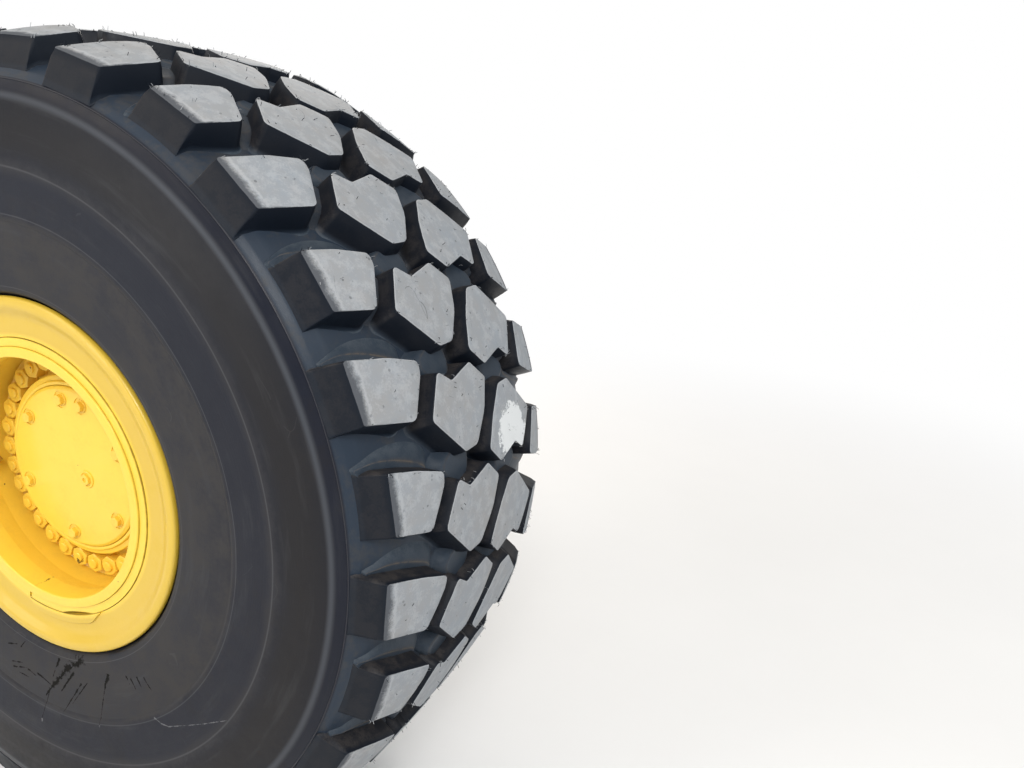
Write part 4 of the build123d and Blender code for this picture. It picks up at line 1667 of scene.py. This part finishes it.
@dataclass
class Rim:
    """The five-piece rim, its disc, the wheel nuts and the air valve."""

    dresser: Dresser
    segments: int = 224
    flange_radius: float = 0.4064
    flange_bore: float = 0.3178
    face: float = 0.3385
    lip: float = 0.3535
    ring_face: float = 0.3415
    ring_back: float = 0.3345
    ring_inner: float = 0.2918
    ring_outer: float = 0.3172
    split: float = radians(195.5)
    pry_slot: float = radians(167.0)
    pry_half: float = 0.064
    pry_depth: float = 0.008
    plate_start: float = radians(153.0)
    plate_end: float = radians(195.5)
    plate_outer: float = 0.3388
    plate_thickness: float = 0.005
    plate_edge: float = 0.0012
    gutter_end: float = 0.3455
    lip_radius: float = 0.2985
    gutter_inner: float = 0.2755
    barrel_outer: float = 0.301
    barrel_inner: float = 0.289
    disc_face: float = 0.205
    disc_back: float = 0.177
    disc_bore: float = 0.226
    disc_edge: float = 0.2887
    nut_circle: float = 0.252
    nut_count: int = 32
    nut_phase: float = radians(1.0)
    nut: HexHead = HexHead(0.043, 0.0225, 0.0238, 0.0045, 0.0125, 0.006)
    hole_circle: float = 0.276
    hole_radius: float = 0.0045
    hole_turns: Sequence[float] = (radians(197.9), radians(321.6))
    valve_turn: float = radians(-96.0)
    valve_distance: float = -0.246
    valve_radius: float = 0.0048
    valve_stand: float = 0.022

    def flange(self, side: Side, name: str, node: str) -> None:
        """A rolled flange ring.

        Args:
            side: The side of the rim.
            name: The piece's name.
            node: The CAD node that it replaces.
        """
        way = side.value
        self.dresser.turned(name, Look.WHEEL_PAINT, node, [
            (self.flange_radius, way * (self.lip - 0.012), 0.006),
            (self.flange_radius - 0.002, way * (self.lip - 0.001), 0.009),
            (self.flange_radius - 0.021, way * (self.lip + 0.0005), 0.016),
            (self.flange_radius - 0.043, way * self.face, 0.030),
            (self.flange_bore, way * self.face, 0.0015),
            (self.flange_bore, way * (HALF_RIM - 0.014), 0.001),
            (0.3335, way * HALF_RIM, 0.004),
            (self.flange_radius - 0.030, way * HALF_RIM, 0.020),
            (self.flange_radius - 0.004, way * (HALF_RIM + 0.018), 0.004),
        ], self.segments)

    def barrel(self) -> None:
        """The rim base with its gutter and fixed lip, and the bead seat band."""
        self.dresser.turned("rim_barrel", Look.WHEEL_PAINT, "rim_base", [
            (self.gutter_inner, -self.gutter_end, 0.003),
            (self.lip_radius, -self.gutter_end, 0.002),
            (self.lip_radius, -0.3348),
            (0.2915, -0.3348),
            (0.2915, -0.3172),
            (self.barrel_outer, -0.3172),
            (self.barrel_outer, 0.2395, 0.01),
            (BEAD_RADIUS, HALF_RIM),
            (BEAD_RADIUS, 0.3388),
            (0.3245, 0.3388, 0.001),
            (0.3245, 0.3465, 0.002),
            (self.barrel_inner, 0.3465, 0.003),
            (self.barrel_inner, -0.2600, 0.010),
            (self.gutter_inner, -0.2990, 0.010),
        ], self.segments)
        band = [(0.3013, -0.2322), (0.3100, -0.2322, 0.002), (0.3174, -0.3170), (0.3013, -0.3170)]
        self.dresser.turned("seat_band", Look.WHEEL_PAINT, "bead_seat_band", band, 128)

    @staticmethod
    def cutter(outline: Sequence[Point], radius: float, turn: float, start: float, end: float) -> Mesh:
        """Bar for cutting the outer side of the rim.

        Args:
            outline: Its section, as (along, outward).
            radius: Where the section's zero is.
            turn: Its angle from the top.
            start: How far from the centre plane it starts.
            end: How far from there it ends.

        Returns:
            The bar.
        """
        seats = [Seat.on_wheel(radius, -distance, turn) for distance in (start, end)]
        return lofted([[seat.at(x, y) for x, y in outline] for seat in seats])

    def lock_ring(self) -> None:
        """The split lock ring with its pry slot."""
        ring = turned_mesh(rounded([
            (0.2988, -self.ring_face, 0.0012),
            (self.ring_outer, -self.ring_face, 0.0012),
            (self.ring_outer, -HALF_RIM),
            (self.ring_inner, -HALF_RIM),
            (self.ring_inner, -self.ring_back),
            (0.2988, -self.ring_back),
        ]), 288)
        gap = [(x * 0.003, y * 0.030) for x, y in SQUARE]
        lens = []
        for k in range(25):
            share = k / 12 - 1
            lens.append((share * self.pry_half, -self.pry_depth * sqrt(max(0.0, 1 - share ** 2))))
        lens += [(self.pry_half, 0.010), (-self.pry_half, 0.010)]
        cutters = [
            self.cutter(gap, 0.3050, self.split, 0.290, 0.360),
            self.cutter(lens, BEAD_RADIUS, self.pry_slot, 0.325, 0.360),
        ]
        self.dresser.piece("split_lock_ring", carved(ring, cutters), Look.WHEEL_PAINT, "lock_ring")

    def driver_plate(self) -> None:
        """The plate that keys the flange, with its drawn-down end."""
        low, samples = self.flange_bore, 60
        outline = []
        for k in range(samples + 1):
            turn = self.plate_start + (self.plate_end - self.plate_start) * k / samples
            taper = ease(turn, self.plate_start, self.plate_start + radians(9))
            taper *= ease(-turn, -self.plate_end, -self.plate_end + radians(5))
            outline.append((turn, low + 0.003 + (self.plate_outer - low - 0.003) * taper))
        loops = []
        thickness, edge = self.plate_thickness, self.plate_edge
        for height, inset in ((0.0002, 0.0), (thickness - edge, 0.0), (thickness, edge)):
            loop = [polar(radius - inset, -self.face - height, turn) for turn, radius in outline]
            loop += [polar(low + inset, -self.face - height, turn) for turn, _ in reversed(outline)]
            loops.append(loop)
        self.dresser.piece("driver_key_plate", lofted(loops), Look.WHEEL_PAINT, "driver_plate")

    def disc(self) -> None:
        """The welded disc with its two small threaded holes."""
        body = turned_mesh(rounded([
            (self.disc_bore, -self.disc_face, 0.001),
            (self.disc_edge - 0.007, -self.disc_face, 0.004),
            (self.disc_edge, -self.disc_face - 0.007),
            (self.disc_edge, -self.disc_back, 0.001),
            (self.disc_bore, -self.disc_back, 0.001),
        ]), self.segments)
        drill = [(self.hole_radius, -0.02), (self.hole_radius, 0.01)]
        seats = [Seat.on_wheel(self.hole_circle, -self.disc_face, turn) for turn in self.hole_turns]
        cutters = [seat.round_form(drill, 24) for seat in seats]
        self.dresser.piece("disc", carved(body, cutters), Look.WHEEL_PAINT, "wheel_disc")

    def nuts(self) -> None:
        """The ring of wheel nuts on their studs."""
        meshes = [
            self.nut.mesh(Seat.on_wheel(self.nut_circle, -self.disc_face, turn))
            for turn in turns(self.nut_count, self.nut_phase)
        ]
        name = "wheel_nuts_and_studs"
        self.dresser.piece(name, joined(meshes), Look.BOLT_PAINT, "wheel_nuts", FASTENER_SHARP)

    def valve(self) -> None:
        """The bent air valve with its cap."""
        turn, distance = self.valve_turn, self.valve_distance
        foot = self.barrel_inner - 0.0003
        bend = foot - self.valve_stand
        corners = [(foot, distance), (bend, distance, 0.012), (bend - 0.008, -0.284)]
        route = rounded(corners, radians(10), closed=False)
        line = [polar(radius, away, turn) for radius, away in route]
        loops = []
        for k, point in enumerate(line):
            way = (line[min(k + 1, len(line) - 1)] - line[max(k - 1, 0)]).normalized()
            across = Vector((0.13, 0.2, 0.9)).cross(way).normalized()
            loops.append(Seat(point, way, across).circle(self.valve_radius, 0.0, 16))
        way = (line[-1] - line[-2]).normalized()
        cap = Seat(line[-1] - way * 0.001, way, way.orthogonal().normalized())
        inward = (polar(0, distance, turn) - line[0]).normalized()
        base = Seat(polar(foot, distance, turn), inward, Vector((0, 1, 0)))
        parts = [
            lofted(loops),
            HexHead(0.0125, 0.013, 0.0075, 0.002, samples=24).mesh(cap),
            HexHead(0.015, 0.006, 0.0078, 0.002, samples=24).mesh(base),
        ]
        self.dresser.piece("bent_air_valve", joined(parts), Look.BRASS, "air_valve")

    def build(self) -> None:
        """Build and dress the rim."""
        self.flange(Side.OUTER, "rolled_flange_outer", "outer_flange")
        self.flange(Side.INNER, "rolled_flange_inner", "inner_flange")
        self.barrel()
        self.lock_ring()
        self.driver_plate()
        self.disc()
        self.nuts()
        self.valve()


@dataclass
class Hub:
    """The planetary hub: drum, carrier, cover, and what is bolted into them."""

    dresser: Dresser
    drum_radius: float = 0.236
    flange_radius: float = 0.278
    pilot_radius: float = 0.2257
    bore: float = 0.09505
    carrier_radius: float = 0.216
    carrier_face: float = 0.252
    cover_face: float = 0.258
    cover_radius: float = 0.1937
    bolt_circle: float = 0.1627
    bolt_angles: Sequence[float] = (-110, -50, -4, 18, 68, 129, 187)
    bolt: HexHead = HexHead(0.022, 0.0095, 0.0155, 0.0025)
    spot_face: float = 0.0195
    spot_depth: float = 0.002
    plug_place: Point = (0.043, -0.018)
    plug: HexHead = HexHead(0.024, 0.006, 0.0145, 0.0015, socket_flats=0.010)
    plug_ring: Sequence[Corner] = (
        (0.0215, -0.001), (0.0205, 0.003, 0.0015), (0.0165, 0.003, 0.001), (0.0150, 0.0005),
    )

    def drum(self) -> None:
        """The drum, and the planet carrier's ring on it."""
        self.dresser.turned("hub_drum", Look.WHEEL_PAINT, "hub", [
            (0.0, -0.205),
            (self.pilot_radius, -0.205),
            (self.pilot_radius, -0.177),
            (self.flange_radius, -0.177, 0.003),
            (self.flange_radius, -0.147, 0.004),
            (self.drum_radius, -0.137, 0.012),
            (self.drum_radius, 0.055, 0.02),
            (0.196, 0.095, 0.006),
            (self.bore, 0.095, 0.002),
            (self.bore, -0.066),
            (0.0, -0.066),
        ], closed=False)
        self.dresser.turned("planet_carrier_ring", Look.WHEEL_PAINT, "planet_carrier", [
            (0.0, -0.2051),
            (self.carrier_radius, -0.2051),
            (self.carrier_radius, -0.2440, 0.004),
            (0.2040, -0.2450, 0.001),
            (0.2015, -self.carrier_face, 0.002),
            (0.194, -self.carrier_face, 0.003),
            (0.1925, -0.245, 0.001),
            (0.0, -0.245),
        ], closed=False)

    def bolt_seats(self, height: float) -> list[Seat]:
        """Seats of the cover's bolts at a height over the cover."""
        place = (self.bolt_circle, -self.cover_face - height)
        return [Seat.on_wheel(*place, radians(angle)) for angle in self.bolt_angles]

    def plug_seat(self, height: float) -> Seat:
        """Seat of the level plug.

        Args:
            height: Its height over the cover.

        Returns:
            The seat.
        """
        x, z = self.plug_place
        centre = Vector((x, WHEEL_PLANE - self.cover_face - height, z))
        return Seat(centre, Vector((0, -1, 0)), Vector((1, 0, 0)))

    def cover(self) -> None:
        """The round cover, with spot faces for its bolts and a raised ring round the plug."""
        disc = turned_mesh(rounded([
            (0.0, -0.2452),
            (self.cover_radius - 0.0015, -0.2452),
            (self.cover_radius - 0.0005, -0.2535, 0.004),
            (self.cover_radius - 0.008, -self.cover_face, 0.003),
            (0.0, -self.cover_face),
        ], closed=False), closed=False)
        drill = [(self.spot_face, -self.spot_depth), (self.spot_face, 0.01)]
        cutters = [seat.round_form(drill, 48) for seat in self.bolt_seats(0.0)]
        ring = self.plug_seat(0.0).round_form(rounded(self.plug_ring, closed=False), 56)
        mesh = joined([carved(disc, cutters), ring])
        self.dresser.piece("planet_cover", mesh, Look.WHEEL_PAINT, "hub_cover")

    def fasteners(self) -> None:
        """The cover's bolts and the level plug."""
        bolts = joined([self.bolt.mesh(seat) for seat in self.bolt_seats(-self.spot_depth)])
        self.dresser.piece("cover_bolt_heads", bolts, Look.BOLT_PAINT, "cover_bolts", FASTENER_SHARP)
        plug = self.plug.mesh(self.plug_seat(0.0004))
        self.dresser.piece("level_plug_head", plug, Look.BOLT_PAINT, "level_plug", FASTENER_SHARP)

    def build(self) -> None:
        """Build and dress the hub."""
        self.drum()
        self.cover()
        self.fasteners()


@dataclass
class AxleEnd:
    """The spindle, brake housing, axle arm and half shaft behind the wheel."""

    dresser: Dresser
    segments: int = 144
    spindle_bore: float = 0.052
    spindle_radius: float = 0.095
    spindle_face: float = 0.101
    brake_start: float = 0.123
    brake_end: float = 0.219
    brake_radius: float = 0.208
    waist_radius: float = 0.196
    bead: float = 0.026
    joint: float = 0.239
    brake_bolts: int = 18
    brake_bolt_circle: float = 0.193
    brake_bolt: HexHead = HexHead(0.022, 0.010, 0.0135, 0.002)
    drain_plug: HexHead = HexHead(0.027, 0.008, 0.0165, 0.002)
    bleed_screw: HexHead = HexHead(0.014, 0.009, 0.0085, 0.0015, 0.0042, 0.0095)
    bore: float = 0.074
    arm_radius: float = 0.118
    land: float = 0.178
    waist_start: float = 0.3503
    waist_end: float = 0.5358
    flange_back: float = 0.610
    flange_radius: float = 0.238
    face: float = 0.640
    flange_bolts: int = 12
    bolt_circle: float = 0.215
    hole_radius: float = 0.011
    ribs: int = 4
    rib_half: float = 0.009
    rib_height: float = 0.026
    rib_stations: int = 44
    shaft_radius: float = 0.034
    spline_radius: float = 0.030
    spline_root: float = 0.0268
    core_radius: float = 0.0262
    shaft_start: float = -0.054
    spline_start: float = 0.646
    shaft_end: float = 0.714
    teeth: int = 24
    tooth: Sequence[float] = (0.0, 0.22, 0.36, 0.64, 0.78)

    def housings(self) -> None:
        """The spindle and the brake housing."""
        self.dresser.turned("spindle_tube", Look.AXLE_PAINT, "spindle", [
            (self.spindle_bore, -0.060, 0.002),
            (self.spindle_radius, -0.060, 0.004),
            (self.spindle_radius, self.spindle_face, 0.0015),
            (self.waist_radius, self.spindle_face, 0.003),
            (self.waist_radius, self.brake_start),
            (self.spindle_bore, self.brake_start),
        ], self.segments)
        self.dresser.turned("brake_housing_ring", Look.AXLE_PAINT, "brake_housing", [
            (self.bore, self.brake_start),
            (self.brake_radius, self.brake_start, 0.004),
            (self.brake_radius, self.brake_start + self.bead, 0.005),
            (self.waist_radius, self.brake_start + self.bead, 0.007),
            (self.waist_radius, self.brake_end - self.bead, 0.007),
            (self.brake_radius, self.brake_end - self.bead, 0.005),
            (self.brake_radius, self.brake_end, 0.002),
            (self.bore, self.brake_end),
        ], self.segments)

    def land_radius(self, distance: float) -> float:
        """Radius of the arm's casting, without its ribs.

        Args:
            distance: Distance from the wheel's centre plane.

        Returns:
            The radius.
        """
        if distance < self.waist_start:
            share = (distance - self.joint) / (self.waist_start - self.joint)
            return self.land + (self.arm_radius - self.land) * max(0.0, share)
        share = max(0.0, (distance - self.waist_end) / (self.flange_back - self.waist_end))
        return self.arm_radius + (self.land - self.arm_radius) * share

    def rib(self, turn: float) -> Mesh:
        """One rib along the arm, rounded on its edges and flared at its foot.

        Args:
            turn: Its angle from the top.

        Returns:
            The rib.
        """
        start, end = self.joint - 0.002, self.flange_back + 0.008
        across = Vector((cos(turn), 0, -sin(turn)))
        loops = []
        for k in range(self.rib_stations + 1):
            distance = start + (end - start) * k / self.rib_stations
            low = self.land_radius(distance)
            lift = self.rib_height * ease(distance, self.joint, self.waist_start)
            high = low + lift
            half = self.rib_half
            section = [
                (low - 0.012, -half - 0.008),
                (low + 0.001, -half - 0.0075),
                (low + min(0.003, lift * 0.4), -half - 0.003),
                (low + min(0.008, lift * 0.6), -half - 0.0005),
                (high - min(0.004, lift * 0.2), -half),
                (high - 0.001, -half + 0.0015),
                (high, -half + 0.0045),
            ]
            section += [(radius, -width) for radius, width in reversed(section)]
            loops.append([polar(radius, distance, turn) + across * width for radius, width in section])
        return lofted(loops)

    def arm(self) -> None:
        """The cast arm with its ribs and drilled mounting flange."""
        body = turned_mesh(rounded([
            (self.bore, self.brake_end),
            (self.brake_radius, self.brake_end, 0.002),
            (self.brake_radius, self.joint, 0.005),
            (self.land, self.joint, 0.008),
            (self.arm_radius, self.waist_start, 0.060),
            (self.arm_radius, self.waist_end, 0.060),
            (self.land, self.flange_back, 0.014),
            (self.flange_radius, self.flange_back, 0.006),
            (self.flange_radius, self.face, 0.002),
            (self.bore, self.face, 0.001),
        ], radians(10)), self.segments)
        drill = [(self.hole_radius, -0.040), (self.hole_radius, 0.010)]
        cutters = [
            Seat.on_wheel(self.bolt_circle, self.face, turn, Side.INNER).round_form(drill, 32)
            for turn in turns(self.flange_bolts)
        ]
        parts = [carved(body, cutters)] + [self.rib(turn) for turn in turns(self.ribs)]
        self.dresser.piece("axle_arm_casting", joined(parts), Look.AXLE_PAINT, "axle_arm")

    def fasteners(self) -> None:
        """The brake housing's bolts, the drain plug below it and the bleed screw on top of it."""
        bolts = joined([
            self.brake_bolt.mesh(Seat.on_wheel(self.brake_bolt_circle, self.joint, turn, Side.INNER))
            for turn in turns(self.brake_bolts, pi / self.brake_bolts)
        ])
        self.dresser.piece("brake_housing_bolts", bolts, Look.AXLE_PAINT, "brake_bolts", FASTENER_SHARP)
        middle = WHEEL_PLANE + (self.brake_start + self.brake_end) / 2
        for name, head, way, node in (
            ("drain_plug_head", self.drain_plug, -1, "drain_plug"),
            ("bleed_screw_nipple", self.bleed_screw, 1, "bleed_screw"),
        ):
            centre = Vector((0, middle, way * self.waist_radius))
            seat = Seat(centre, Vector((0, 0, way)), Vector((1, 0, 0)))
            self.dresser.piece(name, head.mesh(seat), Look.AXLE_PAINT, node, FASTENER_SHARP)

    def seal(self) -> None:
        """The lipped seal in the mouth of the arm."""
        outer, inner = self.bore - 0.0003, self.shaft_radius + 0.0001
        self.dresser.turned("lipped_shaft_seal", Look.SEAL, "shaft_seal", [
            (inner, self.face - 0.026),
            (outer, self.face - 0.026),
            (outer, self.face, 0.0012),
            (outer - 0.007, self.face, 0.0012),
            (outer - 0.010, self.face - 0.004, 0.002),
            (inner + 0.014, self.face - 0.004, 0.003),
            (inner + 0.008, self.face - 0.0005, 0.002),
            (inner + 0.003, self.face - 0.0005, 0.001),
            (inner, self.face - 0.006),
        ], 96)

    def shaft(self) -> None:
        """The half shaft with its splined end."""
        bar = turned_mesh(rounded([
            (0.0, self.shaft_start),
            (self.shaft_radius, self.shaft_start, 0.002),
            (self.shaft_radius, self.spline_start, 0.003),
            (self.core_radius, self.spline_start + 0.001, 0.002),
            (self.core_radius, self.shaft_end - 0.002),
            (0.0, self.shaft_end - 0.002),
        ], closed=False), 96, False)
        root, crest = self.spline_root, self.spline_radius
        tooth = [
            (2 * pi * share / self.teeth, radius)
            for share, radius in zip(self.tooth, (root, root, crest, crest, root))
        ]
        outline = [(start + part, radius) for start in turns(self.teeth) for part, radius in tooth]
        stations = (
            (self.spline_start + 0.004, 0.90),
            (self.spline_start + 0.012, 1.0),
            (self.shaft_end - 0.003, 1.0),
            (self.shaft_end, 0.90),
        )
        splines = lofted([
            [polar(radius * scale, distance, turn) for turn, radius in outline]
            for distance, scale in stations
        ])
        name = "splined_half_shaft"
        self.dresser.piece(name, joined([bar, splines]), Look.STEEL, "half_shaft", FASTENER_SHARP)

    def build(self) -> None:
        """Build and dress the axle end."""
        self.housings()
        self.arm()
        self.fasteners()
        self.seal()
        self.shaft()


@dataclass
class Studio:
    """Pale floor, soft lights and the camera at the photograph's place."""

    camera_place: Sequence[float] = (1.565, -2.021, 0.680)
    focal_length: float = 27.38
    sensor: float = 36.0
    yaw: float = radians(23.3)
    pitch: float = radians(15.3)
    roll: float = radians(1.63)
    floor_colour: Colour = (0.80, 0.81, 0.82)
    floor_reach: float = 40.0
    floor_fade: Point = (1.8, 5.5)
    white: Colour = (1.0, 1.0, 1.0)
    sky_cool: Colour = (0.90, 0.96, 1.0)
    sky_warm: Colour = (1.0, 0.95, 0.89)
    sky_rise: Point = (-0.1, 0.8)
    sky_strength: Point = (0.16, 0.85)
    lamps: Sequence[tuple[str, Sequence[float], float, float, Colour]] = (
        ("key", (3.0, -4.8, 3.8), 2.0, 195.0, (1.0, 0.98, 0.95)),
        ("front", (-1.6, -3.8, 0.7), 1.6, 25.0, (1.0, 1.0, 1.0)),
        ("side", (5.5, -0.8, 3.0), 3.0, 58.0, (0.86, 0.94, 1.0)),
        ("warm", (-2.6, -4.6, 4.2), 2.6, 75.0, (1.0, 0.90, 0.76)),
        ("back", (-3.0, 5.0, 3.5), 3.0, 190.0, (1.0, 0.95, 0.90)),
    )

    def camera(self) -> None:
        """Camera at the photograph's viewing angle."""
        flat = cos(self.pitch)
        ahead = Vector((-sin(self.yaw) * flat, cos(self.yaw) * flat, -sin(self.pitch)))
        level = Vector((cos(self.yaw), sin(self.yaw), 0))
        down = ahead.cross(level)
        right = level * cos(self.roll) - down * sin(self.roll)
        below = level * sin(self.roll) + down * cos(self.roll)
        turned = Matrix((right, -below, -ahead)).transposed().to_4x4()
        data = bpy.data.cameras.new("camera")
        data.lens = self.focal_length
        data.sensor_width = self.sensor
        made = placed("camera", data)
        made.matrix_world = Matrix.Translation(Vector(self.camera_place)) @ turned
        bpy.context.scene.camera = made

    def floor(self) -> None:
        """Wide pale floor under the tread, plain white far from it."""
        skin = Skin("pale_floor")
        place = skin.place()
        shade = tuple(channel * 0.94 for channel in self.floor_colour)
        tone = skin.mixed(skin.noise(place, 1.4, 5.0, 0.6), self.floor_colour, shade)
        skin.dress(Base_Color=tone, Roughness=0.65)
        white = skin.add("Emission", self.white, 1.0)
        far = skin.band(skin.vector("LENGTH", place), *self.floor_fade)
        fade = skin.add("MixShader", far, Signal(skin, skin.surface.outputs[0]), white)
        skin.feed(skin.tree.nodes["Material Output"].inputs["Surface"], fade)
        corners = [Vector((x * self.floor_reach, y * self.floor_reach, FLOOR_HEIGHT)) for x, y in SQUARE]
        mesh = mesh_from(corners, [(0, 1, 2, 3)])
        mesh.materials.append(skin.material)
        placed("floor", mesh)

    def sky(self) -> None:
        """Soft light from all round, and plain white to the camera."""
        world = bpy.data.worlds.new("studio")
        world.use_nodes = True
        bpy.context.scene.world = world
        nodes = Nodes(world.node_tree)
        glow = world.node_tree.nodes["Background"]
        height = nodes.add("SeparateXYZ", nodes.add("TexCoord", output="Generated"), output="Z")
        colour = nodes.mixed(nodes.band(height, *self.sky_rise), self.sky_cool, self.sky_warm)
        nodes.feed(glow.inputs["Color"], colour)
        nodes.feed(glow.inputs["Strength"], nodes.band(height, *self.sky_rise, *self.sky_strength))
        seen = nodes.add("LightPath", output="Is Camera Ray")
        white = nodes.add("Background", self.white, 1.0)
        mixer = nodes.add("MixShader", seen, Signal(nodes, glow.outputs[0]), white)
        nodes.feed(world.node_tree.nodes["World Output"].inputs["Surface"], mixer)

    def lights(self) -> None:
        """Square soft lamps aimed at the wheel's centre."""
        aim = Vector((0.0, WHEEL_PLANE, 0.0))
        for name, place, size, power, colour in self.lamps:
            data = bpy.data.lights.new(name, "AREA")
            data.shape = "SQUARE"
            data.size = size
            data.energy = power
            data.color = colour
            made = placed(name, data)
            made.location = place
            made.rotation_euler = (aim - Vector(place)).to_track_quat("-Z", "Y").to_euler()

    def build(self) -> None:
        """Build the studio."""
        bpy.context.scene.view_settings.view_transform = "Standard"
        self.camera()
        self.floor()
        self.sky()
        self.lights()


def main() -> None:
    """Build every sub-assembly in order."""
    logging.basicConfig(level=logging.INFO, format="%(name)s %(message)s")
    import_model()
    Studio().build()
    Effects()
    for finish in FINISHES:
        finish.build()
    dresser = Dresser()
    Tyre(dresser).build()
    Rim(dresser).build()
    Hub(dresser).build()
    AxleEnd(dresser).build()
    log.info("%d pieces", dresser.pieces)


if __name__ == "__main__":
    main()
